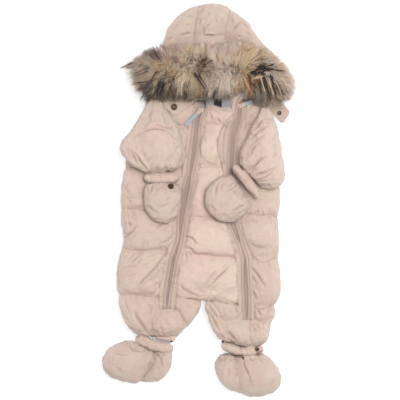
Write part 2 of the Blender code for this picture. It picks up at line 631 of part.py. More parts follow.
def strip(name, line, start, end, half, low, high, spec, into, crowned=0.0, count=30):
    """A ribbon along a zip line: a low box section whose middle is raised by crowned."""
    rings = []
    for y in levels_between(start, end, count):
        x = line(y)
        w = half(y) if callable(half) else half
        rings.append([(x - w, y, low), (x - w, y, high - crowned * 0.6), (x - w * 0.4, y, high),
                      (x + w * 0.4, y, high), (x + w, y, high - crowned * 0.6), (x + w, y, low)])
    return loft(name, rings, spec, into)


def build_zips(into):
    """Tape and stitched facings of both zips, from the collar to the shin."""
    flap = smooth(FLAP_EXTRA)
    offset = ZIP_HALF + SEAM_GAP + FACING_WIDTH / 2
    left, right = smooth(ZIP_LEFT), smooth(ZIP_RIGHT)

    def tape(name, line, top, end):
        strip(name, line, top, end, ZIP_HALF, FRONT_BASE + 8, ZIP_COIL_TOP, TAPE, into,
              ZIP_COIL_TOP - ZIP_TAPE_TOP)

    def facing(name, line, top, end, half=FACING_WIDTH / 2):
        strip(name, line, top, end, half, FRONT_BASE, FACING_TOP, FACING, into, 1.5)

    tape("zip_left_tape", left, 186, ZIP_LEFT_END)
    facing("zip_left_facing_outer", lambda y: left(y) - offset, 192, ZIP_LEFT_END - 1)
    facing("zip_left_facing_inner", lambda y: left(y) + offset, 186, ZIP_LEFT_END - 1)
    tape("zip_right_tape", right, 188, ZIP_RIGHT_END)
    facing("zip_right_facing_outer", lambda y: right(y) + offset, 194, ZIP_RIGHT_END - 1)
    facing("zip_right_facing_inner", lambda y: right(y) - offset - flap(y) / 2, 186, ZIP_RIGHT_END - 1,
           lambda y: FACING_WIDTH / 2 + flap(y) / 2)


def flat_outline(name, rings, thickness, spec, into, matrix):
    """A plate cut to one outer outline and any holes: a 2D curve, extruded and made a mesh."""
    curve = bpy.data.curves.new(name, "CURVE")
    curve.dimensions = "2D"
    curve.fill_mode = "BOTH"
    curve.extrude = thickness / 2 * MM
    for ring in rings:
        spline = curve.splines.new("POLY")
        spline.points.add(len(ring) - 1)
        for point, (x, y) in zip(spline.points, ring):
            point.co = (x * MM, y * MM, 0, 1)
        spline.use_cyclic_u = True
    temporary = bpy.data.objects.new(name + "_outline", curve)
    bpy.context.scene.collection.objects.link(temporary)
    bpy.context.view_layer.update()
    graph = bpy.context.evaluated_depsgraph_get()
    data = bpy.data.meshes.new_from_object(temporary.evaluated_get(graph))
    bpy.data.objects.remove(temporary)
    mesh = bmesh.new()
    mesh.from_mesh(data)
    bmesh.ops.remove_doubles(mesh, verts=mesh.verts, dist=1e-6)
    bmesh.ops.recalc_face_normals(mesh, faces=mesh.faces)
    mesh.to_mesh(data)
    mesh.free()
    data.name = name
    data.materials.clear()
    obj = place(name, data, spec, into, smooth_shading=False)
    obj.matrix_world = matrix
    return obj


def rounded_box(x0, x1, y0, y1, radius, steps=3):
    """A rectangle with round corners, anticlockwise."""
    points = []
    for cx, cy, start in ((x1 - radius, y0 + radius, -90), (x1 - radius, y1 - radius, 0),
                          (x0 + radius, y1 - radius, 90), (x0 + radius, y0 + radius, 180)):
        for i in range(steps + 1):
            angle = math.radians(start + 90 * i / steps)
            points.append((cx + radius * math.cos(angle), cy + radius * math.sin(angle)))
    return points


PULL_HINGE_Z = 44.4
SLIDER_LOW, SLIDER_HIGH = 36.0, 42.2
CROWN_HOLE, CROWN_WALL, CROWN_HALF = 1.25, 0.9, 1.1
TAB_LENGTH, TAB_WIDTH, TAB_THICK = 34.0, 7.6, 1.4
# Each pull's hinge in plan, and its tab's heading.
PULLS = {"left": ((1.8, 180.0), 225.0), "right": ((80.2, 188.0), 20.0)}


def on_circle(radius, degrees):
    return radius * math.cos(math.radians(degrees)), radius * math.sin(math.radians(degrees))


def build_pull(name, hinge, heading, into, cutters):
    """A zip slider with a bridge, a pull frame through the bridge and a flat grip on the frame. The pull
    turns about the bar inside the bridge, where its two pieces have their origin."""
    x, y = hinge
    turn = Matrix.Rotation(math.radians(heading), 4, "Z")
    upright = Matrix.Rotation(math.radians(90), 4, "X")
    at = Matrix.Translation(Vector((x, y, 0)) * MM)

    body = flat_outline(f"slider_{name}", [rounded_box(-4.0, 4.0, -4.2, 4.2, 1.6)],
                        SLIDER_HIGH - SLIDER_LOW, ENAMEL, into,
                        at @ Matrix.Translation((0, 0, (SLIDER_HIGH + SLIDER_LOW) / 2 * MM)))
    foot = SLIDER_HIGH - PULL_HINGE_Z - 0.6
    reach = CROWN_HOLE + CROWN_WALL
    arch = [(-reach - 0.5, foot), (reach + 0.5, foot)]
    arch += [on_circle(reach, angle) for angle in range(0, 181, 30)]
    hole = [on_circle(CROWN_HOLE, angle) for angle in range(0, 360, 36)]
    lifted = Matrix.Translation((0, 0, PULL_HINGE_Z * MM))
    bridge = flat_outline(f"bridge_{name}", [arch, hole], CROWN_HALF * 2, ENAMEL, cutters,
                          at @ lifted @ turn @ upright)
    bridge.hide_render = True
    bridge.display_type = "WIRE"
    join = body.modifiers.new("bridge", "BOOLEAN")
    join.operation = "UNION"
    join.solver = "EXACT"
    join.object = bridge

    window = [(0.7, -1.9), (0.7, 1.9), (5.2, 1.9), (5.2, -1.9)]
    flat_outline(f"pull_{name}_frame", [rounded_box(-0.65, 9.0, -3.3, 3.3, 0.6, 2), window], 1.2, ENAMEL,
                 into, at @ lifted @ turn)
    grip = rounded_box(9.4, 9.4 + TAB_LENGTH, -TAB_WIDTH / 2, TAB_WIDTH / 2, 2.2)
    flat_outline(f"pull_{name}_grip", [grip], TAB_THICK, REFLECTIVE, into, at @ lifted @ turn)


def surface_of(*names):
    """The height and the slope of the uppermost surface of the named pieces, as a function of x and y."""
    mesh = bmesh.new()
    for name in names:
        mesh.from_mesh(bpy.data.objects[name].data)
    tree = BVHTree.FromBMesh(mesh)
    mesh.free()

    def at(x, y):
        point, normal, _, _ = tree.ray_cast(Vector((x, y, 200)) * MM, Vector((0, 0, -1)))
        return point.z / MM, normal

    return at


def laid_strip(name, path, half, lift, thickness, onto, spec, into, stops=9):
    """A flat strip along a plan path that follows the surface it lies on, raised by lift."""
    at = surface_of(*onto)
    rings = []
    for point, heading in smooth_path(path, stops):
        aside = Vector((-heading.y, heading.x)) * half
        edges = [point - aside, point, point + aside]
        heights = [at(spot.x, spot.y)[0] + lift for spot in edges]
        ring = [(spot.x, spot.y, z) for spot, z in zip(edges, heights)]
        ring += [(spot.x, spot.y, z + thickness) for spot, z in zip(reversed(edges), reversed(heights))]
        rings.append(ring)
    loft(name, rings, spec, into)


def snap_on(snap, into):
    """A press stud that sits on a surface, tilted with it."""
    z, normal = surface_of(snap.onto)(snap.x, snap.y)
    tilt = normal.to_track_quat("Z", "X").to_euler()
    middle = Vector((snap.x, snap.y, z)) + normal * SNAP_LIFT
    turned(snap.name, cap_profile(snap.radius, snap.height), middle, tilt, BRONZE, into)


def turned(name, profile, at, tilt, spec, into, steps=16):
    """A turned stud or cap: a profile of radius and height pairs, spun round its own axis."""
    data = bpy.data.meshes.new(name)
    edges = [(i, i + 1) for i in range(len(profile) - 1)]
    data.from_pydata([(radius * MM, 0, height * MM) for radius, height in profile], edges, [])
    obj = place(name, data, spec, into, smooth_shading=False)
    screw = obj.modifiers.new("turn", "SCREW")
    screw.steps = screw.render_steps = steps
    screw.use_merge_vertices = True
    screw.merge_threshold = 0.00001
    obj.location = Vector(at) * MM
    obj.rotation_euler = tilt
    return obj


def cap_profile(radius, height):
    """A press stud's cap with a rolled rim and a dished top, from the top down."""
    return [(0, height * 0.72), (radius * 0.5, height * 0.78), (radius * 0.74, height),
            (radius * 0.92, height * 0.92), (radius, height * 0.5), (radius * 0.94, 0), (0, 0)]


def build_tabs_and_snaps(into):
    """The hood's two front corners and all the press studs."""
    left, right = side(TAB_LEFT, "left"), side(TAB_LEFT, "right")
    rings = []
    low, middle, high = (UPPER_BASE + TAB_LEFT_THICK * share for share in (0, 0.5, 1))
    for y in TAB_LEFT_LEVELS:
        rounding = min(3, (right(y) - left(y)) * 0.2)
        rings.append([(left(y), y, low), (left(y), y, middle), (left(y) + rounding, y, high),
                      (right(y) - rounding, y, high), (right(y), y, middle), (right(y), y, low)])
    loft("hood_tab_left", rings, SHELL, into)
    tab = flat_outline("hood_tab_right", [TAB_RIGHT], TAB_RIGHT_THICK, SHELL, into,
                       Matrix.Translation((0, 0, TAB_RIGHT_MIDDLE * MM)))
    bevel = tab.modifiers.new("soft edge", "BEVEL")
    bevel.width = 1.6 * MM
    bevel.segments = 1
    turned("snap_tab_left", cap_profile(6.6, 2.6), (-51, 186, UPPER_BASE + 5.5), (0, 0, 0), BRONZE, into)
    turned("snap_tab_right", cap_profile(4.2, 2.2), (160, 176, 14.3), (0, 0, 0), BRONZE, into)
    for snap in SNAPS:
        snap_on(snap, into)


def build_pocket(into):
    """The welt of the left side pocket, along the side seam."""
    laid_strip("pocket_welt_left", WELT, WELT_HALF, WELT_LIFT, WELT_THICK, ["front_left"], FACING, into)


def build_neck(into):
    """The grey lining that shows inside the back of the neck, and its plain woven label."""
    flat_outline("neck_lining", [rounded_box(17, 64, 191.5, 204.1, 3)], 11, LINING, into,
                 Matrix.Translation((0, 0, (FRONT_BASE + 5.5) * MM)))
    flat_outline("neck_label", [rounded_box(27, 43, 192.5, 203, 0.5, 1)], 0.8, LABEL, into,
                 Matrix.Translation((0, 0, (FRONT_BASE + 11.7) * MM)))


def build_fur(into):
    """The fur trim: a core along the hood's edge, with a lock drawn out of each face that looks up or out."""
    low, high = smooth([(r.x, r.low) for r in FUR]), smooth([(r.x, r.high) for r in FUR])
    bottom, top = smooth([(r.x, r.bottom) for r in FUR]), smooth([(r.x, r.top) for r in FUR])
    rings, sides = [], 12
    for x in [row.x for row in FUR[:6]] + levels_between(-70, 140, 15) + [row.x for row in FUR[-4:]]:
        y_mid, y_half = 0.5 * (high(x) + low(x)), 0.5 * (high(x) - low(x))
        z_mid, z_half = 0.5 * (top(x) + bottom(x)), 0.5 * (top(x) - bottom(x))
        ring = []
        for k in range(sides):
            angle = 2 * math.pi * (k + 0.5) / sides
            ring.append((x, y_mid + y_half * math.cos(angle), z_mid + z_half * math.sin(angle)))
        rings.append(ring)
    obj = loft("fur_trim", rings, FUR_COAT, into, smooth_shading=False)
    mesh = bmesh.new()
    mesh.from_mesh(obj.data)
    rng = np.random.default_rng(4)
    spine = smooth([(r.x, 0.5 * (r.low + r.high)) for r in FUR])
    lowest = smooth([(edge.x, edge.y) for edge in FUR_HEM])
    facing = [face for face in mesh.faces if face.normal.z > -0.25 and len(face.verts) == 4]
    for face in facing:
        centre = face.calc_center_median()
        x, y = centre.x / MM, centre.y / MM
        out = Vector(((x - 30) / 190, (y - spine(x)) / 60, 0))
        flow = (out.normalized() + face.normal * 0.7 + Vector((0, -0.15, 0.0))).normalized()
        length = rng.uniform(14, 22) * MM * (0.7 + 0.5 * out.length)
        poked = bmesh.ops.poke(mesh, faces=[face])
        tip = poked["verts"][0]
        tip.co += flow * length
        tip.co.x = min(tip.co.x, FUR_REACH * MM)
        tip.co.y = max(tip.co.y, lowest(x) * MM)
        on_hood = FUR_BASE + 1 if -92 < x < 156 else 15
        tip.co.z = max(tip.co.z, (70 if tip.co.y < 0.2 and x < 0 else on_hood) * MM)
    mesh.to_mesh(obj.data)
    mesh.free()


def main():
    clear_scene()
    suit = collection("baby_snowsuit")
    helpers = collection("helpers", hidden=True)
    build_back(suit)
    build_front(suit)
    build_hood(suit)
    build_sleeves(suit)
    build_mittens(suit)
    build_booties(suit)
    build_zips(suit)
    for name, (hinge, heading) in PULLS.items():
        build_pull(name, hinge, heading, suit, helpers)
    build_tabs_and_snaps(suit)
    build_pocket(suit)
    build_neck(suit)
    build_fur(suit)


main()
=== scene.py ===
"""Padded baby snowsuit, laid flat on its back: cloth, fur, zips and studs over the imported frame.

The tables hold plan sizes in millimetres: +X to the right of someone looking down on the front, +Y towards the
hood, +Z up. Every padded piece starts as a copy of its solid, is swelled by a cloth simulation, and then gets its
seams, gathers and folds from the tables.
"""

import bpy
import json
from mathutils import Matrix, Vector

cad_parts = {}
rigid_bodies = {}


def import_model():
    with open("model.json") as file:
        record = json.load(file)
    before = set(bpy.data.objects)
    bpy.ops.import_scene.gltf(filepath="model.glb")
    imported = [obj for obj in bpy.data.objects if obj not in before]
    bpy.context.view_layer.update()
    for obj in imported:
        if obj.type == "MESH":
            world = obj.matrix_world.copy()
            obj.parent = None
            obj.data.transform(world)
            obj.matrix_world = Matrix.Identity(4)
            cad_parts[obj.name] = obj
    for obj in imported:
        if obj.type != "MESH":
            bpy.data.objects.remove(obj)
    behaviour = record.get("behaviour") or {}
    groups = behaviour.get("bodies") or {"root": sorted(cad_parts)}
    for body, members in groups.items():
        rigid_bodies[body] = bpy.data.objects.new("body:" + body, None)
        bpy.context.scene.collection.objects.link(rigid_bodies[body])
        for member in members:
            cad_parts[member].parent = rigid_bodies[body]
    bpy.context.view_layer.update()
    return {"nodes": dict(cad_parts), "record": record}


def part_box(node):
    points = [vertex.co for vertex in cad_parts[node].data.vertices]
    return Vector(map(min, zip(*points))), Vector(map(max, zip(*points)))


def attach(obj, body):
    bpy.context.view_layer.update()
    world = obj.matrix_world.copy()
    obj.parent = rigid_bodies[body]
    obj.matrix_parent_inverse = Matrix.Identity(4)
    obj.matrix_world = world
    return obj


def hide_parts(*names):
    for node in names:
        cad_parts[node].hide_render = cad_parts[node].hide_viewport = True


bl_info = {
    "name": "Baby Snowsuit",
    "version": (1, 0, 0),
    "blender": (4, 5, 0),
    "location": "View3D > Sidebar > Snowsuit",
    "description": "Builds a quilted baby snowsuit with fur trim, mittens and booties over its packed frame",
    "category": "Object",
}

import json
import math
from collections import namedtuple

import bmesh
import bpy
import numpy as np
from bpy.props import FloatProperty, FloatVectorProperty, IntProperty, PointerProperty
from mathutils import Vector
from mathutils.bvhtree import BVHTree

for leftover in list(bpy.data.objects):
    bpy.data.objects.remove(leftover)
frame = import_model()

MM = 0.001

# A seam is sewn along points: a groove of depth, with gathers of height gather that reach so far from it.
Seam = namedtuple("Seam", "points depth gather reach pitch", defaults=[2.4, 1.1, 14.0, 9.0])
# A fold is a soft trough of width and depth. lean moves the ridge beside it from one side to the other.
Fold = namedtuple("Fold", "points width depth lean", defaults=[0.0])
Layer = namedtuple("Layer", "seams folds slack")
Patch = namedtuple("Patch", "x y wide tall colour share")
Lock = namedtuple("Lock", "root tip colour hairs spread")
Flow = namedtuple("Flow", "x upper lower")

ZIP_LEFT = [(6, 192), (0, 175), (-6, 153), (-10, 118), (-14, 88), (-20, 49), (-29, 8), (-37, -34), (-40, -72),
            (-48, -102), (-54, -122), (-59, -153), (-64, -180), (-66, -214)]
ZIP_RIGHT = [(81, 196), (78, 169), (73, 148), (67, 128), (65, 108), (64, 78), (62, 40), (62, 0), (67, -44),
             (73, -64), (81, -87), (88, -111), (90, -128), (91, -166), (93, -191), (94, -237)]
PANEL_OFFSET = 13.2


def beside_zip(line, offset):
    """A zip's line moved sideways, as the edge of what is sewn beside it."""
    return [(x + offset, y) for x, y in line]


def layered(seams, folds, slack):
    """A layer from rows of its seams and folds."""
    return Layer([Seam(*row) for row in seams], [Fold(*row) for row in folds], slack)


FRONT = layered(
    seams=[
        ([(-148, 66), (-90, 66), (-30, 68)],),
        ([(-158, -16), (-140, -17), (-108, -19), (-84, -18), (-56, -20), (-38, -20)],),
        ([(-156, -95), (-132, -99), (-112, -100), (-92, -97), (-70, -100)], 3.0, 1.5),
        ([(-164, -188), (-132, -187), (-116, -190), (-91, -192), (-76, -193)], 3.4, 1.2),
        ([(-112, 151), (-60, 151), (-18, 151)], 2.0, 1.0),
        ([(-8, 66), (22, 67), (48, 66)], 1.6, 0.8),
        ([(-20, -31), (20, -33), (56, -34)], 1.8, 0.7),
        ([(-30, -95), (-19, -98), (-11, -107), (12, -109), (36, -112), (60, -112), (76, -116)], 2.8, 1.0),
        ([(-20, -186), (0, -190), (30, -189), (52, -198), (60, -201), (70, -206), (84, -211)], 1.6, 1.6),
        ([(92, -26), (124, -30), (138, -27), (152, -33), (162, -35)], 3.0, 1.4),
        ([(92, -105), (104, -110), (119, -121), (127, -123), (139, -118), (154, -115), (162, -113)], 3.4, 1.5),
        ([(104, -212), (120, -215), (136, -212), (149, -206), (158, -203)], 3.0, 1.3),
        ([(76, 62), (120, 60), (160, 60)],),
        ([(96, 151), (140, 151)], 2.0, 1.0),
        (beside_zip(ZIP_LEFT, -PANEL_OFFSET), 0.6, 1.1, 16, 10),
        (beside_zip(ZIP_LEFT, PANEL_OFFSET), 0.6, 1.1, 15, 11),
        (beside_zip(ZIP_RIGHT, PANEL_OFFSET), 0.6, 1.0, 16, 10),
        (beside_zip(ZIP_RIGHT[6:], -PANEL_OFFSET), 0.6, 0.9, 15, 12),
        ([(26, -190), (30, -200), (38, -216), (41, -230), (46, -249), (54, -266), (70, -292)], 1.2, 1.8, 12, 8),
        ([(100, -236), (99.5, -250), (101, -270), (105, -302)], 1.2, 1.0, 10, 8),
        ([(-79, -216), (-86, -223), (-94, -237), (-95, -252), (-93, -263), (-92, -280)], 1.2, 1.0, 9, 8),
        ([(-46, -216), (-38, -224), (-33, -237), (-33, -252), (-37, -264)], 1.0, 1.0, 9, 8),
        ([(-150, -268), (-120, -266), (-94, -270), (-64, -270), (-40, -266)], 0.4, 1.8, 14, 9),
        ([(30, -276), (60, -290), (100, -294), (132, -288)], 0.4, 1.8, 14, 9),
        ([(-157, 60), (-155, 30), (-159, -16), (-152, -76), (-164, -140), (-163, -200), (-147, -244)], 0, 1.0,
         8, 9),
        ([(156, 60), (159, 10), (157, -60), (160, -150), (152, -210), (134, -276)], 0, 1.0, 8, 9),
    ],
    folds=[
        ([(-62, -99), (-78, -120), (-91, -136), (-110, -156), (-126, -174)], 3.0, 4.2, 0.8),
        ([(-82, -87), (-68, -82), (-59, -75), (-50, -71)], 2.8, 3.2, -0.6),
        ([(-143, -117), (-128, -104)], 2.6, 2.2, 0.4),
        ([(-139, -124), (-118, -108)], 2.8, 2.6, 0.4),
        ([(-128, -128), (-111, -114)], 2.8, 2.0, 0.4),
        ([(-118, -133), (-100, -121)], 3.0, 1.6, -0.3),
        ([(-156, -138), (-137, -130), (-118, -132)], 3.4, 1.8),
        ([(-146, -154), (-124, -144)], 3.4, 1.6),
        ([(-106, -112), (-88, -108)], 3.4, 1.6),
        ([(-124, -46), (-131, -58), (-139, -66), (-152, -77)], 3.0, 3.4, 0.5),
        ([(-143, -42), (-137, -52)], 2.6, 2.8),
        ([(-151, -59), (-147, -67)], 2.6, 2.2),
        ([(-138, -21), (-124, -34)], 2.8, 2.4, 0.5),
        ([(-137, -30), (-123, -44)], 2.8, 2.4, 0.5),
        ([(-146, -24), (-140, -36)], 2.6, 1.8),
        ([(-142, 2), (-137, -9)], 2.6, 2.4),
        ([(-150, 30), (-140, 8)], 3.6, 1.8),
        ([(-88, -55), (-76, -46)], 3.0, 1.8, 0.5),
        ([(-76, -60), (-60, -50)], 3.0, 1.8, 0.5),
        ([(-60, -40), (-66, -60)], 3.4, 1.4),
        ([(-28, -72), (-17, -75), (-6, -88)], 3.0, 3.6, 0.6),
        ([(-27, -92), (-19, -97), (-10, -107)], 2.6, 2.6, -0.4),
        ([(-30, -99), (-25, -123)], 2.6, 2.2),
        ([(-22, -100), (-17, -116)], 2.6, 1.6),
        ([(-17, -10), (-21, -36), (-27, -58)], 3.4, 2.2, 0.6),
        ([(-8, -24), (-18, -42)], 3.0, 1.6),
        ([(61, -128), (50, -141), (34, -155), (23, -172)], 2.8, 4.2, -0.8),
        ([(36, -135), (20, -153), (11, -172)], 3.4, 2.6, -0.4),
        ([(56, -122), (44, -134)], 3.2, 1.6),
        ([(10, -184), (-8, -176)], 4.0, 1.6),
        ([(-40, -160), (-30, -178), (-14, -188)], 5.0, 1.8),
        ([(100, -132), (112, -145), (122, -160), (133, -175)], 3.0, 3.6, 0.7),
        ([(104, -176), (112, -199)], 2.8, 3.0, 0.5),
        ([(104, -150), (110, -168)], 3.2, 1.6),
        ([(112, -215), (124, -232)], 2.6, 3.6, 0.5),
        ([(106, -217), (110, -238)], 2.8, 2.0),
        ([(138, -214), (132, -232)], 3.0, 1.6),
        ([(94, -82), (112, -92), (132, -95)], 7.0, 2.8),
        ([(104, -112), (119, -128)], 3.0, 2.0, 0.6),
        ([(134, -120), (142, -134)], 3.0, 1.6),
        ([(102, -30), (120, -20)], 3.0, 1.6),
        ([(100, -34), (116, -46)], 3.2, 1.8),
        ([(146, -36), (138, -48)], 3.0, 1.6),
        ([(-131, -216), (-124, -234), (-114, -250), (-104, -268)], 4.4, 4.6, 0.4),
        ([(-150, -198), (-140, -222)], 4.0, 2.2),
        ([(-104, -200), (-96, -216), (-98, -232)], 4.6, 2.2),
        ([(-92, -198), (-84, -208)], 2.8, 2.0),
        ([(-72, -232), (-62, -250)], 3.6, 1.8),
        ([(-56, -228), (-48, -238)], 3.2, 1.6),
        ([(-80, -250), (-72, -262)], 3.0, 2.0),
        ([(-36, -203), (-20, -212), (-8, -214)], 3.4, 2.0),
        ([(-36, -232), (-26, -248)], 3.4, 2.0),
        ([(15, -204), (25, -220), (36, -236)], 2.6, 3.4, 0.5),
        ([(22, -199), (33, -210), (40, -226)], 2.6, 3.0, -0.5),
        ([(20, -222), (30, -244), (42, -262)], 2.8, 3.0, 0.5),
        ([(28, -236), (36, -252)], 2.6, 2.4),
        ([(36, -262), (50, -276)], 3.0, 2.6),
        ([(70, -209), (77, -228)], 2.8, 3.4, 0.5),
        ([(58, -212), (63, -228)], 3.0, 1.8),
        ([(112, -246), (119, -256)], 2.6, 3.0),
        ([(106, -250), (111, -264)], 2.8, 2.2),
        ([(62, -244), (76, -243)], 3.0, 1.6),
        ([(56, -262), (70, -280)], 4.0, 2.6),
        ([(95, 178), (106, 194)], 2.6, 2.6, 0.6),
        ([(100, 160), (108, 176)], 3.0, 1.8),
        ([(18, 176), (26, 158)], 3.0, 2.4, 0.5),
        ([(33, 166), (39, 154)], 2.8, 2.4),
        ([(22, 184), (40, 177)], 3.0, 1.8),
        ([(52, 178), (47, 160)], 3.4, 1.6),
        ([(4, 140), (10, 118)], 4.0, 1.2),
        ([(30, 110), (20, 90)], 5.0, 1.4),
        ([(8, 82), (18, 72)], 3.0, 1.6),
        ([(38, 86), (32, 74)], 3.0, 1.6),
        ([(-40, 150), (-26, 130)], 3.2, 2.0),
        ([(-30, 110), (-24, 86)], 3.2, 1.8),
    ],
    slack=0.8,
)

UPPER = layered(
    seams=[
        ([(-114, 57), (-80, 58), (-44, 58)], 0.6, 1.9, 13, 8),
        ([(-112, 34), (-76, 33), (-38, 34)], 0.6, 2.1, 15, 7.5),
        ([(78, 78), (90, 64), (104, 48), (120, 26)], 0.6, 1.8, 18, 9),
        ([(60, 54), (78, 36), (96, 12), (100, -8)], 0.6, 1.9, 16, 8),
        ([(-98, 192), (-60, 178), (-48, 158), (-40, 140)], 0.4, 0.9, 10, 9),
        ([(118, 172), (104, 142), (90, 118), (80, 96)], 0.4, 1.2, 14, 10),
    ],
    folds=[
        ([(-131, 119), (-121, 130), (-100, 139), (-84, 140), (-66, 137), (-55, 128), (-42, 116)], 3.0, 3.4, -0.9),
        ([(-89, 151), (-73, 144), (-55, 142), (-47, 134)], 2.8, 3.0, 0.6),
        ([(-128, 96), (-120, 82), (-109, 66), (-100, 59)], 2.8, 4.4, 0.7),
        ([(-136, 98), (-126, 78), (-118, 68)], 3.2, 2.6, 0.4),
        ([(-64, 184), (-56, 172), (-50, 156)], 3.0, 2.2),
        ([(-96, 178), (-104, 160)], 3.6, 1.8),
        ([(-84, 168), (-92, 150)], 4.0, 1.2),
        ([(-60, 150), (-66, 158)], 3.0, 1.6),
        ([(-52, 116), (-42, 104)], 3.0, 1.8),
        ([(-48, 96), (-40, 84)], 3.0, 1.8),
        ([(-96, 59), (-94, 74)], 2.6, 2.0),
        ([(-84, 59), (-82, 70)], 2.4, 1.8),
        ([(-66, 59), (-68, 74)], 2.6, 2.2),
        ([(-56, 60), (-60, 76)], 2.6, 2.0),
        ([(-106, 112), (-86, 106)], 5.0, 1.0),
        ([(123, 161), (107, 139)], 2.8, 4.2, 0.5),
        ([(138, 148), (118, 138), (101, 122)], 2.8, 2.8, 0.5),
        ([(130, 157), (114, 146)], 2.8, 2.0),
        ([(130, 132), (110, 118), (96, 104)], 2.8, 2.2, 0.5),
        ([(116, 112), (98, 98), (88, 88)], 2.8, 2.4, 0.4),
        ([(133, 89), (115, 75), (100, 62)], 2.8, 3.4, 0.5),
        ([(122, 86), (111, 73), (101, 59)], 2.6, 4.4, 0.7),
        ([(96, 94), (88, 78)], 2.8, 2.6),
        ([(104, 100), (95, 84)], 3.0, 1.8),
        ([(142, 62), (127, 54), (110, 49)], 2.8, 3.6, -0.5),
        ([(142, 54), (126, 43), (114, 40)], 2.8, 2.6),
        ([(134, 40), (116, 36)], 2.6, 2.8),
        ([(150, 66), (136, 50)], 3.2, 1.8),
        ([(152, 96), (140, 80)], 4.4, 1.6),
        ([(150, 130), (142, 112)], 4.6, 1.4),
        ([(-104, 30), (-102, 10)], 2.6, 2.4),
        ([(-95, 31), (-97, 13)], 2.6, 2.8),
        ([(-87, 31), (-83, 15)], 2.6, 2.6),
        ([(-79, 31), (-81, 20)], 2.4, 2.0),
        ([(-68, 30), (-67, 14)], 2.6, 2.2),
        ([(-70, -3), (-57, 8)], 3.6, 1.8, 0.5),
        ([(-82, -15), (-58, -4)], 4.0, 1.8, 0.5),
        ([(-102, -6), (-94, -22)], 3.6, 1.4),
        ([(35, 34), (28, 10)], 3.0, 3.0, -0.5),
        ([(45, 36), (40, 20)], 2.8, 2.0),
        ([(78, 32), (62, 22), (50, 20)], 2.6, 3.2, 0.6),
        ([(70, 38), (58, 30), (50, 31)], 2.6, 2.2),
        ([(86, 18), (74, 12)], 2.8, 2.0),
        ([(64, -22), (79, -13), (94, -8)], 3.0, 2.8, 0.6),
        ([(70, -30), (88, -20)], 3.2, 2.2, 0.5),
        ([(22, -8), (30, -24)], 4.0, 1.6),
        ([(42, -28), (56, -34)], 3.6, 1.6),
    ],
    slack=0.7,
)

HOOD = layered(
    seams=[
        ([(0, 392), (-6, 364), (-13, 316), (-16, 290)], 2.2, 1.3, 12, 10),
        ([(58, 392), (59, 376), (52, 340), (50, 320)], 2.2, 1.2, 12, 10),
        ([(-80, 300), (-64, 307), (-29, 312), (-12, 320)], 2.0, 1.0, 12, 9),
        ([(50, 322), (80, 316), (120, 300)], 2.0, 1.0, 12, 9),
    ],
    folds=[
        ([(8, 386), (-1, 373)], 2.6, 3.0, 0.5),
        ([(2, 362), (-3, 348)], 2.6, 2.4),
        ([(6, 346), (7, 328)], 2.4, 2.8, 0.6),
        ([(22, 352), (12, 342), (7, 331)], 3.0, 2.4, 0.6),
        ([(8, 328), (19, 328), (32, 327)], 2.2, 3.4, 0.8),
        ([(32, 327), (48, 330)], 3.0, 1.8),
        ([(30, 368), (36, 348)], 3.6, 1.8),
        ([(20, 378), (14, 364)], 4.0, 1.4),
        ([(46, 366), (42, 344)], 3.6, 1.4),
        ([(82, 356), (72, 346), (63, 337)], 2.8, 4.0, 0.6),
        ([(80, 358), (98, 341)], 3.0, 2.2),
        ([(62, 366), (66, 350)], 3.2, 1.8),
        ([(88, 336), (104, 326)], 3.6, 1.8),
        ([(70, 330), (84, 322)], 3.2, 1.6),
        ([(-40, 326), (-28, 330), (-16, 333)], 2.8, 2.8, 0.5),
        ([(-16, 350), (-30, 346)], 3.2, 1.6),
        ([(-12, 366), (-28, 364)], 3.4, 2.0),
        ([(-52, 340), (-40, 352)], 4.0, 1.4),
        ([(-66, 318), (-50, 324)], 3.4, 1.6),
    ],
    slack=0.7,
)

BOOTIE = layered(
    seams=[
        ([(-150, -282), (-120, -290), (-92, -300), (-56, -306)], 0.4, 2.0, 15, 9),
        ([(-87, -300), (-92, -316), (-98, -328), (-107, -344), (-118, -364)], 0.8, 1.0, 9, 9),
        ([(36, -306), (80, -310), (128, -306)], 0.4, 2.1, 16, 9),
        ([(77, -310), (77, -342), (82, -388)], 0.6, 0.9, 9, 10),
        ([(-193, -330), (-172, -352), (-132, -363), (-100, -360), (-72, -352)], 0, 0.9, 10, 10),
        ([(49, -366), (76, -386), (134, -390), (156, -377)], 0, 0.9, 10, 10),
    ],
    folds=[
        ([(-142, -285), (-134, -295), (-122, -291)], 3.0, 3.6, 0.4),
        ([(-134, -298), (-112, -300)], 3.0, 2.6),
        ([(-174, -304), (-140, -306)], 4.4, 1.8),
        ([(-168, -326), (-150, -346)], 6.0, 1.4),
        ([(-180, -340), (-166, -350)], 3.6, 1.4),
        ([(-110, -310), (-104, -322)], 3.4, 1.8),
        ([(-88, -305), (-78, -314), (-76, -325), (-71, -332)], 2.8, 3.0, 0.5),
        ([(-82, -301), (-66, -309)], 2.8, 2.0),
        ([(-86, -326), (-80, -340)], 3.2, 1.6),
        ([(88, -312), (87, -325), (95, -343), (102, -357)], 2.8, 3.6, 0.6),
        ([(96, -314), (108, -318)], 3.0, 2.4),
        ([(58, -309), (46, -316), (34, -319)], 2.8, 3.2, 0.5),
        ([(66, -311), (58, -322)], 2.8, 2.4),
        ([(72, -311), (74, -324)], 2.6, 2.8),
        ([(94, -350), (107, -372)], 4.0, 1.8),
        ([(60, -330), (56, -352)], 5.0, 1.6),
        ([(116, -312), (130, -326)], 3.4, 1.8),
        ([(140, -370), (150, -352)], 5.0, 1.2),
    ],
    slack=0.8,
)

BACK = layered(
    seams=[([(-170, y), (0, y - 2), (170, y)], 2.0, 1.0, 12, 10) for y in (151, 67, -18, -100, -190, 322, 284)],
    folds=[([(-166, -60), (-140, -76)], 3.2, 2.0), ([(150, -60), (166, -84)], 3.2, 2.0)],
    slack=0.5,
)

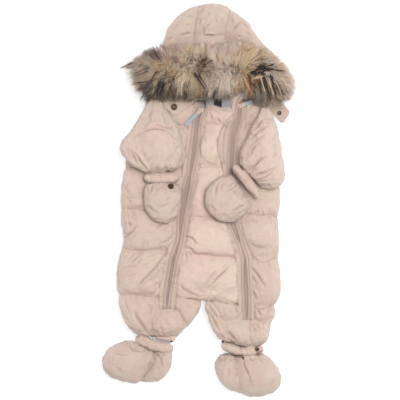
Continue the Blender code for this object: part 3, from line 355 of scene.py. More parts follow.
CUFF_PATHS = {
    "mitten_cuff_left": [(-112, 45), (-76, 46), (-40, 45)],
    "mitten_cuff_right": [(66, 68), (92, 41), (115, 6)],
    "ankle_cuff_left": [(-130, -275.5), (-92, -286.7), (-53, -296.8)],
    "ankle_cuff_right": [(43, -287), (84, -300.5), (128, -297.5)],
}

# How far the front's upper edge moves up at a given x, and the seam above the legs.
COLLAR_DIP = [(0, 4), (14, 8), (26, 4), (40, -3), (54, -4), (66, 1), (76, 5)]
LEG_SEAM = [(-50, -192), (-20, -188), (0, -192), (30, -192), (52, -200), (84, -212)]

# How far a facing's inner edge lies from its zip's line at a given y, and how much wider the flap is there.
FACING_EDGE = {
    ("left", "outer"): [(-214, 0.4), (-199, 1.9), (-179, 1.3), (-159, 1.9), (-119, 2.0), (-85, 0.9), (-69, 1.2),
                        (-39, 2.6), (-19, 5.6), (1, 7.4), (21, 5.8), (41, 4.8), (51, 2.2), (61, 1.8), (81, 2.6),
                        (101, 3.8), (141, 3.6), (161, 4.2), (186, 3.4)],
    ("left", "inner"): [(-214, 0.4), (-199, 2.3), (-179, 3.8), (-159, 3.2), (-119, 2.9), (-85, 2.0), (-69, 1.0),
                        (-51, 2.4), (-39, 4.2), (-19, 4.8), (1, 4.4), (21, 4.2), (41, 2.8), (51, 0.8), (61, 2.0),
                        (81, 3.0), (101, 4.2), (121, 4.6), (141, 4.2), (161, 2.8), (186, 2.4)],
    ("right", "inner"): [(-237, 0.6), (-229, 3.4), (-209, 4.4), (-189, 4.6), (-169, 4.2), (-149, 3.0), (-129, 2.2),
                         (-115, 0.4), (-88, 0.2), (-79, 2.0), (-69, 3.8), (-49, 5.4), (-39, 6.6), (0, 4.2),
                         (81, 4.0), (101, 4.8), (121, 4.3), (141, 6.4), (151, 5.6), (161, 3.4), (186, 3.0),
                         (194, 2.0), (202, -3.0), (210, -5.0), (220, -6.0)],
    ("right", "outer"): [(-237, 0.6), (-229, 2.0), (-209, 2.6), (-189, 3.2), (-169, 3.8), (-149, 3.0), (-129, 2.0),
                         (-115, 2.4), (-100, 0.4), (-88, 0.2), (-79, 1.8), (-69, 2.8), (-49, 4.4), (-39, 3.6),
                         (0, 3.4), (81, 2.9), (101, 4.2), (141, 5.1), (161, 4.8), (186, 3.4)],
}
FLAP = [(60, 2), (70, 6), (82, 11), (100, 15), (117, 16), (131, 15), (150, 10), (165, 3), (176, 0)]
# The y at which each facing ends at the top.
FACING_TOPS = {("left", "inner"): 187, ("left", "outer"): 192, ("right", "inner"): 218, ("right", "outer"): 194}

# Across a facing, from the tape outwards: how far out each point lies as a share, its height, and how much painted
# shade of its creases it takes.
FACING_FORM = [(0.0, 34.8, 0.6), (0.04, 36.0, 0.2), (0.13, 36.9, 0.0), (0.24, 37.1, 0.0), (0.33, 36.8, 0.1),
               (0.385, 36.1, 0.9), (0.425, 36.05, 0.9), (0.48, 36.7, 0.1), (0.56, 37.1, 0.0), (0.65, 37.2, 0.0),
               (0.74, 37.3, 0.0), (0.83, 37.6, 0.0), (0.92, 38.2, 0.2), (1.0, 38.9, 0.4)]
# A facing's width, its stitched valley as a share of that, and the step from one section to the next.
FACING_WIDTH, FACING_VALLEY, FACING_STEP = 15.4, 0.405, 1.6
# Across a zip's tape: how far to one side each point lies, and how high.
TAPE_PROFILE = [(-8.4, 30.4), (-8.4, 33.2), (-3.0, 34.2), (-2.6, 33.8), (2.6, 33.8), (3.0, 34.2), (8.4, 33.2),
                (8.4, 30.4)]
# The height of the middle of the teeth.
TEETH_LEVEL = 34.6

# Each padded piece: the solids it stands for, its layer, its remesh cell in mm and how full it is.
Pad = namedtuple("Pad", "nodes layer cell fill")
FRONT_PADS = {
    "front_left": Pad(["front_left", "knee_patch", "leg_left_inner"], FRONT, 4.2, 0.7),
    "front_centre": Pad(["front_centre", "chest_panel", "collar_centre"], FRONT, 4.2, 0.7),
    "front_right": Pad(["front_right", "shin_right_outer", "shin_right_inner", "leg_right_inner",
                        "leg_right_gusset"], FRONT, 4.2, 0.7),
}
BACK_PADS = {name: Pad([name], BACK, 8.0, 0.5) for name in (
    "back_torso", "back_leg_left", "back_leg_right", "hood_back")}
HOOD_PADS = {"hood_front": Pad(["hood_side_left", "hood_crown", "hood_side_right"], HOOD, 4.0, 0.7)}
SLEEVE_PADS = {side: Pad([f"{side}_under", f"{side}_top"], UPPER, 4.2, 0.7)
               for side in ("sleeve_left", "sleeve_right")}
MITTEN_PADS = {side: Pad([f"{side}_under", f"{side}_top"], UPPER, 4.0, 0.7)
               for side in ("mitten_left", "mitten_right")}
BOOTIE_PADS = {side: Pad([f"{side}_toe", f"{side}_heel"], BOOTIE, 4.2, 0.8)
               for side in ("bootie_left", "bootie_right")}

FUR_SPINE = [(-134, 249), (-123, 248), (-110, 247), (-98, 248), (-84, 252), (-44, 257), (0, 258), (40, 258),
             (80, 260), (130, 248), (152, 238), (162, 233), (172, 229), (180, 226)]
# The directions, in degrees, in which the fur's upper and lower hair runs at a given x.
FUR_FLOW = [
    Flow(-134, 164, 214), Flow(-110, 150, 226), Flow(-84, 128, 240), Flow(-50, 104, 256), Flow(0, 90, 272),
    Flow(50, 84, 272), Flow(88, 66, 276), Flow(112, 46, 290), Flow(140, 26, 300), Flow(165, 8, 304),
    Flow(180, -8, 308),
]
FUR_BASE = [(0.86, 0.77, 0.66), (0.80, 0.69, 0.56), (0.78, 0.70, 0.62), (0.74, 0.63, 0.51), (0.86, 0.78, 0.70)]
FUR_PATCHES = [Patch(*row) for row in (
    (-90, 292, 22, 15, (0.46, 0.38, 0.36), 0.85),
    (-56, 296, 28, 15, (0.76, 0.65, 0.59), 0.9),
    (44, 299, 38, 17, (0.84, 0.75, 0.69), 0.9),
    (106, 290, 25, 24, (0.78, 0.68, 0.55), 0.85),
    (160, 279, 24, 13, (0.80, 0.71, 0.65), 0.85),
    (-84, 282, 9, 15, (0.30, 0.21, 0.19), 0.9),
    (-120, 268, 25, 26, (0.74, 0.66, 0.59), 0.8),
    (-106, 214, 27, 20, (0.44, 0.36, 0.31), 0.75),
    (-72, 254, 21, 19, (0.78, 0.65, 0.50), 0.85),
    (-75, 225, 10, 15, (0.24, 0.16, 0.12), 0.8),
    (-55, 217, 10, 9, (0.36, 0.25, 0.19), 0.8),
    (-31, 248, 23, 16, (0.92, 0.83, 0.72), 0.9),
    (-14, 243, 6, 10, (0.84, 0.74, 0.56), 0.85),
    (-46, 273, 11, 7, (0.48, 0.38, 0.31), 0.75),
    (-20, 276, 7, 6, (0.44, 0.34, 0.28), 0.75),
    (-28, 213, 8, 13, (0.34, 0.24, 0.19), 0.7),
    (-6, 219, 17, 13, (0.80, 0.69, 0.55), 0.8),
    (8, 267, 17, 12, (0.40, 0.30, 0.25), 0.85),
    (18, 238, 12, 22, (0.80, 0.73, 0.66), 0.8),
    (24, 200, 14, 8, (0.18, 0.12, 0.11), 0.85),
    (50, 232, 22, 30, (0.86, 0.79, 0.72), 0.9),
    (62, 262, 10, 12, (0.54, 0.45, 0.39), 0.7),
    (94, 234, 19, 21, (0.72, 0.53, 0.38), 0.85),
    (104, 221, 6, 6, (0.30, 0.18, 0.12), 0.7),
    (126, 259, 25, 9, (0.18, 0.12, 0.11), 0.75),
    (136, 216, 22, 26, (0.40, 0.32, 0.28), 0.5),
    (180, 228, 17, 28, (0.82, 0.75, 0.69), 0.9),
)]

# How far down the fur's hair hangs at a given x, and how far it reaches to either end at a given y.
FUR_LOWEST = [(-134, 206), (-118, 196), (-104, 190), (-88, 196), (-70, 198), (0, 200), (60, 203), (70, 210),
              (78, 217), (92, 217), (98, 206), (106, 198), (114, 190), (124, 186), (138, 184), (150, 188),
              (170, 182), (190, 196)]
FUR_LEFT = [(190, -106), (207, -121), (225, -133), (245, -143), (258, -156), (268, -158), (281, -136), (291, -124),
            (301, -112), (312, -96)]
FUR_RIGHT = [(186, 156), (197, 176), (209, 188), (225, 193), (241, 191), (257, 183), (269, 176), (281, 166),
             (291, 152), (302, 138), (312, 120)]
# Single locks that stand out by their colour: plan points of root and tip.
FUR_LOCKS = [Lock(*row) for row in (
    ((-10, 250), (10, 220), (0.10, 0.06, 0.05), 24, 1.8),
    ((-2, 246), (14, 224), (0.12, 0.07, 0.06), 10, 1.2),
    ((-134, 272), (-158, 262), (0.16, 0.14, 0.15), 12, 1.6),
    ((-84, 252), (-98, 233), (0.16, 0.10, 0.08), 12, 1.3),
    ((-98, 262), (-130, 250), (0.34, 0.25, 0.20), 10, 1.8),
    ((-104, 254), (-128, 244), (0.40, 0.32, 0.27), 9, 1.8),
    ((-112, 268), (-142, 262), (0.46, 0.38, 0.33), 9, 2.0),
    ((-92, 236), (-128, 231), (0.24, 0.18, 0.16), 12, 2.0),
    ((-96, 232), (-126, 216), (0.28, 0.22, 0.20), 12, 2.2),
    ((-92, 226), (-112, 200), (0.22, 0.16, 0.14), 14, 2.6),
    ((-100, 220), (-118, 198), (0.26, 0.20, 0.18), 12, 2.4),
    ((-76, 236), (-86, 204), (0.11, 0.06, 0.05), 18, 2.6),
    ((-68, 232), (-78, 208), (0.13, 0.07, 0.06), 16, 2.4),
    ((-84, 292), (-82, 262), (0.24, 0.16, 0.14), 16, 2.6),
    ((-90, 282), (-104, 298), (0.34, 0.27, 0.25), 12, 2.6),
    ((-56, 224), (-62, 206), (0.26, 0.18, 0.14), 10, 2.0),
    ((-44, 222), (-46, 204), (0.34, 0.24, 0.18), 8, 2.0),
    ((-22, 228), (-30, 200), (0.22, 0.13, 0.10), 14, 1.8),
    ((-33, 236), (-36, 204), (0.86, 0.78, 0.70), 10, 2.0),
    ((-12, 218), (-10, 202), (0.36, 0.25, 0.18), 8, 1.8),
    ((20, 222), (10, 200), (0.30, 0.21, 0.17), 8, 2.4),
    ((32, 216), (26, 198), (0.11, 0.08, 0.08), 16, 3.0),
    ((14, 280), (-2, 262), (0.26, 0.17, 0.12), 14, 2.4),
    ((24, 274), (8, 264), (0.36, 0.26, 0.20), 12, 2.4),
    ((102, 250), (130, 266), (0.10, 0.06, 0.06), 20, 1.6),
    ((106, 246), (146, 262), (0.12, 0.08, 0.07), 20, 1.6),
    ((112, 258), (150, 270), (0.13, 0.09, 0.09), 16, 1.8),
    ((120, 260), (168, 256), (0.16, 0.12, 0.12), 18, 1.6),
    ((104, 240), (140, 248), (0.74, 0.65, 0.56), 10, 1.8),
    ((126, 242), (138, 200), (0.18, 0.12, 0.11), 16, 2.4),
    ((116, 236), (122, 206), (0.22, 0.15, 0.12), 14, 2.2),
    ((138, 244), (152, 200), (0.20, 0.15, 0.13), 16, 2.6),
    ((150, 236), (166, 204), (0.30, 0.24, 0.22), 12, 2.0),
    ((132, 240), (146, 202), (0.72, 0.63, 0.55), 12, 2.2),
    ((146, 242), (162, 206), (0.76, 0.68, 0.60), 12, 2.2),
    ((120, 240), (130, 208), (0.80, 0.68, 0.54), 9, 1.6),
    ((158, 244), (178, 214), (0.80, 0.72, 0.65), 12, 2.4),
    ((98, 246), (100, 222), (0.24, 0.13, 0.08), 10, 1.6),
    ((92, 296), (110, 304), (0.66, 0.52, 0.36), 8, 3.0),
)]

# The fur's roots begin at this x and go on this far.
FUR_FROM, FUR_SPAN = -122, 292
# Half the width of the fur's hide at a given x, its height, and the height at which single locks start.
FUR_HALF = [(-136, 6), (-120, 17), (-84, 25), (130, 25), (165, 19), (183, 6)]
FUR_LEVEL = [(-136, 34), (-115, 46), (-90, 62), (140, 62), (160, 48), (183, 36)]
LOCK_LEVEL = [(-136, 44), (-115, 56), (-90, 66), (140, 66), (160, 54), (183, 46)]
# The length of the upper hair as a share of the lower hair's, at a given x.
FUR_UPPER_LENGTH = [(-130, 1.0), (-90, 0.82), (-50, 0.66), (60, 0.70), (110, 0.80), (150, 0.9)]
# The lowest that hair may lie over the hood, over the chest and beside the suit.
OVER_HOOD, OVER_CHEST, BESIDE = 57.0, 50.0, 14.0
# Half the width of what hair leaves free for the left pull's grip, and how far out from the hinge it reaches.
GRIP_HALF, GRIP_REACH = 7, 41

# The width of a seam's groove, and of the dip it lies in.
GROOVE, GROOVE_DIP = 1.6, 9.0
# What starts below these two heights in metres, under another layer, hardly swells or swells less.
LOW_LAYER = [0.0415, 0.047]
# Pads whose remesh cell is this large lie underneath and aren't refined near their creases.
COARSE_CELL = 5
FLOOR_REACH, FLOOR_LEVEL = 6.0, -0.0006


# ---- sizes and colours a user would change ------------------------------------------------------------------


def colour_property(name, description, default):
    return FloatVectorProperty(name=name, description=description, subtype="COLOR", size=3, min=0, max=1,
                               default=default)


def length_property(name, description, default):
    return FloatProperty(name=name, description=description, default=default, min=0, unit="LENGTH")


class SnowsuitCloth(bpy.types.PropertyGroup):
    """The quilted shell."""

    pink: colour_property("Pink", "Cloth colour where it looks pinker", (0.735, 0.537, 0.465))
    beige: colour_property("Beige", "Cloth colour where it looks paler", (0.742, 0.588, 0.476))
    # shade is painted shade: the darker colour mixed into the cloth deep in seams and folds, where shade falls.
    shade: colour_property("Fold colour", "Cloth colour deep in seams and folds", (0.54, 0.35, 0.275))
    pressure: FloatProperty(name="Pressure", description="Air pressure that swells each pad", default=4.0, min=0)
    growth: FloatProperty(name="Spare cloth", description="How much larger the cloth is than its pad, as a share",
                          default=0.07, min=0, max=0.3)
    swell: length_property("Most swelling", "How far the simulation may move a point", 0.006)
    relief: FloatProperty(name="Fold depth", description="Factor on the depth of seams and folds", default=1.0)
    frames: IntProperty(name="Frames", description="Steps of the cloth simulation", default=16, min=1)


class SnowsuitFur(bpy.types.PropertyGroup):
    """The fur trim of the hood."""

    locks: IntProperty(name="Locks", description="Locks of hair in the whole trim", default=840, min=10)
    hairs: IntProperty(name="Hairs", description="Hairs in each lock", default=21, min=1)
    length: length_property("Length", "Length of the longest hair", 0.056)
    thickness: length_property("Thickness", "Hair thickness at the root", 0.0010)
    seed: IntProperty(name="Seed", description="Starting number of the scatter", default=11)


class SnowsuitZip(bpy.types.PropertyGroup):
    """Zip teeth, tapes and stitches."""

    tooth_pitch: length_property("Tooth pitch", "From one tooth to the next", 0.0022)
    stitch_pitch: length_property("Stitch pitch", "From one stitch to the next", 0.0036)
    colour: colour_property("Tape colour", "Colour of tape and teeth", (0.425, 0.312, 0.27))


class SnowsuitStage(bpy.types.PropertyGroup):
    """Floor, lights and camera."""

    height: length_property("Camera height", "Above the floor", 3.03)
    lens: FloatProperty(name="Focal length", description="In millimetres", default=135.0, unit="CAMERA")
    key: FloatProperty(name="Key light", description="Power of the large light", default=59.0, unit="POWER")
    fill: FloatProperty(name="Fill light", description="Power of the small light", default=6.0, unit="POWER")
    ambient: FloatProperty(name="Ambient", description="Strength of the light from all round", default=0.635)
    floor: colour_property("Floor colour", "Plain pale floor", (0.52, 0.52, 0.52))
    glow: FloatProperty(name="Floor glow", description="Light that the floor gives, as a light table", default=0.6)


class SnowsuitSettings(bpy.types.PropertyGroup):
    """All settings of the snowsuit."""

    cloth: PointerProperty(type=SnowsuitCloth)
    fur: PointerProperty(type=SnowsuitFur)
    zips: PointerProperty(type=SnowsuitZip)
    stage: PointerProperty(type=SnowsuitStage)


def settings():
    return bpy.context.scene.snowsuit


# ---- lines, noise and relief --------------------------------------------------------------------------------


def unit(vectors, least=0.0):
    """Vectors over their lengths, to which least is added where one may be zero."""
    return vectors / (np.linalg.norm(vectors, axis=-1, keepdims=True) + least)


def leftward(heading):
    """The left-hand normals of plan headings."""
    return np.stack([-heading[:, 1], heading[:, 0]], axis=1)


def round_angles(count):
    """Equal steps round a circle."""
    return np.arange(count) * 2 * math.pi / count


def looked_up(table, at):
    """What a table of (place, value) rows says at many places, on straight lines between its rows."""
    places, values = np.array(table, float).T
    return np.interp(at, places, values)


def bell(distance, width):
    """1 where distance is 0, falling off as e to the minus square of distance over width."""
    return np.exp(-(distance / width) ** 2)


def curve_through(points, count):
    """A smooth line through a few points, sampled count times: each stretch is the cubic whose slopes are half
    the step between the neighbours (Catmull-Rom)."""
    points = np.asarray(points, float)
    ends = np.vstack([2 * points[0] - points[1], points, 2 * points[-1] - points[-2]])
    place = np.linspace(0, len(points) - 1, count)
    k = np.minimum(place.astype(int), len(points) - 2)
    t = (place - k)[:, None]
    a, b, c, d = ends[k], ends[k + 1], ends[k + 2], ends[k + 3]
    return 0.5 * (2 * b + (c - a) * t + (2 * a - 5 * b + 4 * c - d) * t**2 + (3 * b - a - 3 * c + d) * t**3)


def evenly(line, pitch):
    """Points a pitch apart along a line, and the heading at each: positions interpolated by arc length."""
    steps = np.linalg.norm(np.diff(line, axis=0), axis=1)
    along = np.concatenate([[0], np.cumsum(steps)])
    count = max(2, int(along[-1] / pitch) + 1)
    at = np.linspace(0, along[-1], count)
    spots = np.stack([np.interp(at, along, line[:, axis]) for axis in range(line.shape[1])], axis=1)
    return spots, unit(np.gradient(spots, axis=0))


def beside(points, line):
    """For many plan points: the signed distance from a line, positive on its left, how far along the line the
    nearest place is, and the line's length. The nearest place on each stretch is the foot of the perpendicular,
    kept between the stretch's ends."""
    start, run = line[:-1], np.diff(line, axis=0)
    length = np.linalg.norm(run, axis=1)
    rel = points[:, None, :] - start[None]
    share = np.clip((rel * run).sum(-1) / length**2, 0, 1)
    offset = rel - share[..., None] * run
    distance = np.linalg.norm(offset, axis=-1)
    nearest = distance.argmin(axis=1)
    row = np.arange(len(points))
    side = np.sign(run[nearest, 0] * offset[row, nearest, 1] - run[nearest, 1] * offset[row, nearest, 0])
    before = np.concatenate([[0], np.cumsum(length)])
    along = before[nearest] + share[row, nearest] * length[nearest]
    return distance[row, nearest] * np.where(side == 0, 1, side), along, before[-1]


def ripple(along, pitch, seed):
    """Smooth random values from -1 to 1 along a line: random knots a pitch apart, joined by eased steps."""
    knots = np.random.default_rng(seed).uniform(-1, 1, 997)
    place = along / pitch
    k = np.floor(place).astype(int)
    t = place - k
    t = t * t * (3 - 2 * t)
    return knots[k % 997] * (1 - t) + knots[(k + 1) % 997] * t


def waves(points, seed, shortest, longest, count=18):
    """Smooth random height from -1 to 1 in space: the mean of sine waves of random headings, whose lengths run
    from shortest to longest, scaled by the root of their number."""
    rng = np.random.default_rng(seed)
    heading = rng.normal(size=(3, count))
    heading /= np.linalg.norm(heading, axis=0)
    length = np.geomspace(shortest, longest, count)
    phase = rng.uniform(0, 2 * math.pi, count)
    return np.sin(points @ heading * (2 * math.pi / length) + phase).sum(axis=1) / math.sqrt(count) * 0.8


def near_line(points, line, margin):
    """Which points lie in the box round a plan line, with a margin in mm."""
    low, high = line.min(axis=0) - margin, line.max(axis=0) + margin
    return np.flatnonzero(((points[:, :2] > low) & (points[:, :2] < high)).all(axis=1))


def seam_relief(points, seam, seed, height, mask, near_crease):
    """Adds a sewn seam to height: a groove that falls off as e to the minus distance over its width, in a dip
    five times as wide, and gathers, rounded between sharp valleys, that run away from it and die out over its
    reach."""
    line = curve_through(seam.points, 6 * len(seam.points))
    near = near_line(points, line, 3 * seam.reach)
    if not len(near):
        return
    distance, along, _ = beside(points[near, :2], line)
    gap = np.abs(distance)
    slant = along + distance * ripple(along, 40, seed + 3) * 0.9
    above = np.abs(ripple(slant + 500, seam.pitch, seed))
    below = np.abs(ripple(slant + 900, seam.pitch * 1.13, seed + 1))
    share = np.where(distance > 0, above, below)
    groove = np.exp(-gap / GROOVE)
    fade = np.exp(-gap / seam.reach * (1.2 + 0.7 * ripple(along + 300, seam.pitch * 2, seed + 2)))
    gathers = (share * 2 - 0.9) * seam.gather * fade * (1 - groove)
    uneven = 0.8 + 0.35 * ripple(along + 700, 24, seed + 4)
    height[near] += gathers - seam.depth * (uneven * (0.62 * groove + 0.34 * bell(gap, GROOVE_DIP)))
    # Painted shade: a thin dark line along the groove, and darkening in the valleys between gathers.
    line_shade = uneven * bell(gap, 1.1) * min(0.95, seam.depth / 2.4)
    valley = np.clip(1 - share * 5, 0, 1) * fade * min(1.0, seam.gather / 2) * 0.7
    mask[near] = np.maximum(mask[near], np.maximum(line_shade, valley))
    near_crease[near] = np.maximum(near_crease[near], bell(gap, 6))


def fold_relief(points, fold, height, mask, near_crease):
    """Adds a fold to height: a trough that is half a bell curve and half a sharp crease across, with a lower
    ridge at each side, both fading towards the fold's ends as a sine."""
    line = curve_through(fold.points, 5 * len(fold.points))
    near = near_line(points, line, 4 * fold.width)
    if not len(near):
        return
    distance, along, total = beside(points[near, :2], line)
    taper = np.sin(math.pi * np.clip(along / total, 0, 1)) ** 0.6
    width = fold.width * (0.55 + 0.45 * taper)
    trough = 0.5 * bell(distance, width) + 0.5 * np.exp(-np.abs(distance) / (0.45 * width))
    left, right = (bell(distance - side * 1.8 * width, 1.1 * width) * (0.45 + side * 0.45 * fold.lean)
                   for side in (1, -1))
    height[near] += fold.depth * taper * (left + right - trough)
    # Painted shade along the fold's crease.
    mask[near] = np.maximum(mask[near], bell(distance, 0.42 * width) * taper * min(1.0, fold.depth / 3.6))
    near_crease[near] = np.maximum(near_crease[near], bell(distance, 2.0 * width) * taper)


def relief(points, layer, seed):
    """Height over the smooth pad in mm, how deep each point lies in a seam or fold, which is how much painted shade
    it takes, and how near it is to one, from 0 to 1: low waves for slack cloth, small crinkles, then every seam and
    fold of the layer."""
    height = waves(points, seed, 16, 70) * layer.slack
    crinkle = np.abs(waves(points, seed + 1, 8, 22, 12))
    height += (0.5 - crinkle) * 1.0 * layer.slack
    mask, near_crease = np.zeros(len(points)), np.zeros(len(points))
    for number, seam in enumerate(layer.seams):
        seam_relief(points, seam, 17 * number + 5, height, mask, near_crease)
    for fold in layer.folds:
        fold_relief(points, fold, height, mask, near_crease)
    # Painted shade also where the relief lies lowest.
    mask = np.maximum(mask, 0.22 * np.clip(-0.8 - height, 0, 2) / 2)
    return height, mask, near_crease


# ---- meshes -------------------------------------------------------------------------------------------------


def read(mesh, what="co"):
    values = np.empty(len(mesh.vertices) * 3, np.float32)
    mesh.vertices.foreach_get(what, values)
    return values.reshape(-1, 3).astype(float)


def write(mesh, points):
    mesh.vertices.foreach_set("co", np.asarray(points, np.float32).ravel())
    mesh.update()


def add_attribute(mesh, name, values):
    """One value or colour for each vertex, for the materials."""
    if values.ndim == 1:
        mesh.attributes.new(name, "FLOAT", "POINT").data.foreach_set("value", values.astype(np.float32))
    else:
        filled = np.ones((len(values), 4), np.float32)
        filled[:, :3] = values
        mesh.color_attributes.new(name, "FLOAT_COLOR", "POINT").data.foreach_set("color", filled.ravel())


def added(name, data):
    """A new object in the scene."""
    obj = bpy.data.objects.new(name, data)
    bpy.context.scene.collection.objects.link(obj)
    return obj


def placed(name, mesh, finish, body="root"):
    """An object at the origin with one material and smooth faces, which rides on a body."""
    obj = added(name, mesh)
    mesh.materials.clear()
    mesh.materials.append(finish)
    mesh.shade_smooth()
    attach(obj, body)
    return obj


def solid(name, points, faces, finish):
    """A placed body of an array of points in metres and a list of faces, which are turned outwards."""
    mesh = bpy.data.meshes.new(name)
    mesh.from_pydata(points.reshape(-1, 3).tolist(), [], faces)
    outward(mesh)
    return placed(name, mesh, finish)


def grid_faces(rows, columns):
    """Quads between neighbouring rows of a closed ring: indices by position, with the last column joined to
    the first."""
    i, j = np.meshgrid(np.arange(rows - 1), np.arange(columns), indexing="ij")
    k = (j + 1) % columns
    return np.stack([i * columns + j, i * columns + k, (i + 1) * columns + k, (i + 1) * columns + j],
                    axis=-1).reshape(-1, 4)


def closed_tube(name, rings, finish):
    """A closed body whose sections are rings, an array of rows by points by xyz in metres, with a flat face at
    each end."""
    rows, columns = rings.shape[:2]
    faces = grid_faces(rows, columns).tolist()
    faces += [list(range(columns))[::-1], [(rows - 1) * columns + j for j in range(columns)]]
    return solid(name, rings, faces, finish)


def outward(mesh):
    """Turns all faces outwards, if the body's signed volume is negative."""
    shape = bmesh.new()
    shape.from_mesh(mesh)
    bmesh.ops.recalc_face_normals(shape, faces=shape.faces)
    if shape.calc_volume(signed=True) < 0:
        bmesh.ops.reverse_faces(shape, faces=shape.faces)
    shape.to_mesh(mesh)
    shape.free()


def repeated(name, points, faces, spots, axes, finish):
    """One body of many copies of a small closed shape. points are in the shape's own axes, spots the places and
    axes a 3 by 3 frame at each place, so a copy's point is its spot plus the frame times the point."""
    copies = spots[:, None, :] + np.einsum("pi,nij->npj", np.asarray(points, float), axes)
    shift = (np.arange(len(spots)) * len(points))[:, None, None]
    every = (np.asarray(faces)[None] + shift).reshape(-1, len(faces[0])).tolist()
    return solid(name, copies, every, finish)


def bead(half_length, half_width, half_height, sides=6, stops=4):
    """A small lozenge with round ends along its first axis: rings whose radius is the root of 1 minus the
    square of the place along it."""
    place = np.linspace(-0.92, 0.92, stops)
    radius = np.sqrt(1 - place**2)
    angle = round_angles(sides)
    x = np.repeat(place * half_length, sides)
    y = (radius[:, None] * np.cos(angle) * half_width).ravel()
    z = (radius[:, None] * np.sin(angle) * half_height).ravel()
    ends = np.array([[-half_length, 0, 0], [half_length, 0, 0]])
    points = np.vstack([np.stack([x, y, z], axis=1), ends])
    quads = grid_faces(stops, sides).tolist()
    first, last, base = stops * sides, stops * sides + 1, (stops - 1) * sides
    caps = [[first, (j + 1) % sides, j] for j in range(sides)]
    caps += [[last, base + j, base + (j + 1) % sides] for j in range(sides)]
    return points, [[a, b, c] for a, b, c, d in quads] + [[a, c, d] for a, b, c, d in quads] + caps


def frames_along(heading, up=(0.0, 0.0, 1.0)):
    """A 3 by 3 frame for each heading: along it, across it and up."""
    across = unit(np.cross(up, heading))
    return np.stack([heading, across, np.cross(heading, across)], axis=1)


def surface_below(*objects):
    """A function that drops plan points in metres onto the uppermost of the objects: places and normals."""
    shape = bmesh.new()
    for obj in objects:
        shape.from_mesh(obj.data)
    tree = BVHTree.FromBMesh(shape)
    shape.free()

    def drop(spots):
        places, normals = [], []
        for x, y in spots:
            hit, normal, _, _ = tree.ray_cast(Vector((x, y, 1.0)), Vector((0, 0, -1)))
            places.append(hit if hit else Vector((x, y, 0.03)))
            normals.append(normal if hit else Vector((0, 0, 1)))
        return np.array(places), np.array(normals)

    return drop


def stitch_row(name, line, onto):
    """Stitches lying along a plan line on a surface: small lozenges, a pitch apart, two thirds as long."""
    pitch = settings().zips.stitch_pitch
    places, normals = onto(evenly(np.asarray(line, float) * MM, pitch)[0])
    heading = unit(np.gradient(places, axis=0))
    points, faces = bead(pitch * 0.36, 0.0004, 0.00035, sides=5, stops=3)
    return repeated(name, points, faces, places + normals * 0.0001, frames_along(heading, normals),
                    thread_finish())


# ---- padded pieces ------------------------------------------------------------------------------------------


def applied(obj):
    """Makes what the modifiers show the object's own mesh, and takes the modifiers off."""
    graph = bpy.context.evaluated_depsgraph_get()
    shown = bpy.data.meshes.new_from_object(obj.evaluated_get(graph))
    before = obj.data
    obj.modifiers.clear()
    obj.data = shown
    shown.name = obj.name
    bpy.data.meshes.remove(before)


def joined_copy(name, nodes):
    """A copy of neighbouring or stacked solids as one mesh with its doubles merged. Where there is more than one,
    each is grown by 1 mm along its normals, so that the remesh joins them."""
    whole = bmesh.new()
    for node in nodes:
        part = bmesh.new()
        part.from_mesh(frame["nodes"][node].data)
        bmesh.ops.transform(part, matrix=frame["nodes"][node].matrix_world, verts=part.verts)
        bmesh.ops.remove_doubles(part, verts=part.verts, dist=1e-5)
        part.normal_update()
        if len(nodes) > 1:
            grown = [(vertex, vertex.co + vertex.normal * MM) for vertex in part.verts]
            for vertex, place in grown:
                vertex.co = place
        mesh = bpy.data.meshes.new("part")
        part.to_mesh(mesh)
        part.free()
        whole.from_mesh(mesh)
        bpy.data.meshes.remove(mesh)
    mesh = bpy.data.meshes.new(name)
    whole.to_mesh(mesh)
    whole.free()
    return mesh


def refined(mesh, chosen):
    """Divides the edges between chosen points in half."""
    shape = bmesh.new()
    shape.from_mesh(mesh)
    marked = chosen.tolist()
    edges = [edge for edge in shape.edges if marked[edge.verts[0].index] and marked[edge.verts[1].index]]
    bmesh.ops.subdivide_edges(shape, edges=edges, cuts=1, use_grid_fill=True)
    shape.to_mesh(mesh)
    shape.free()


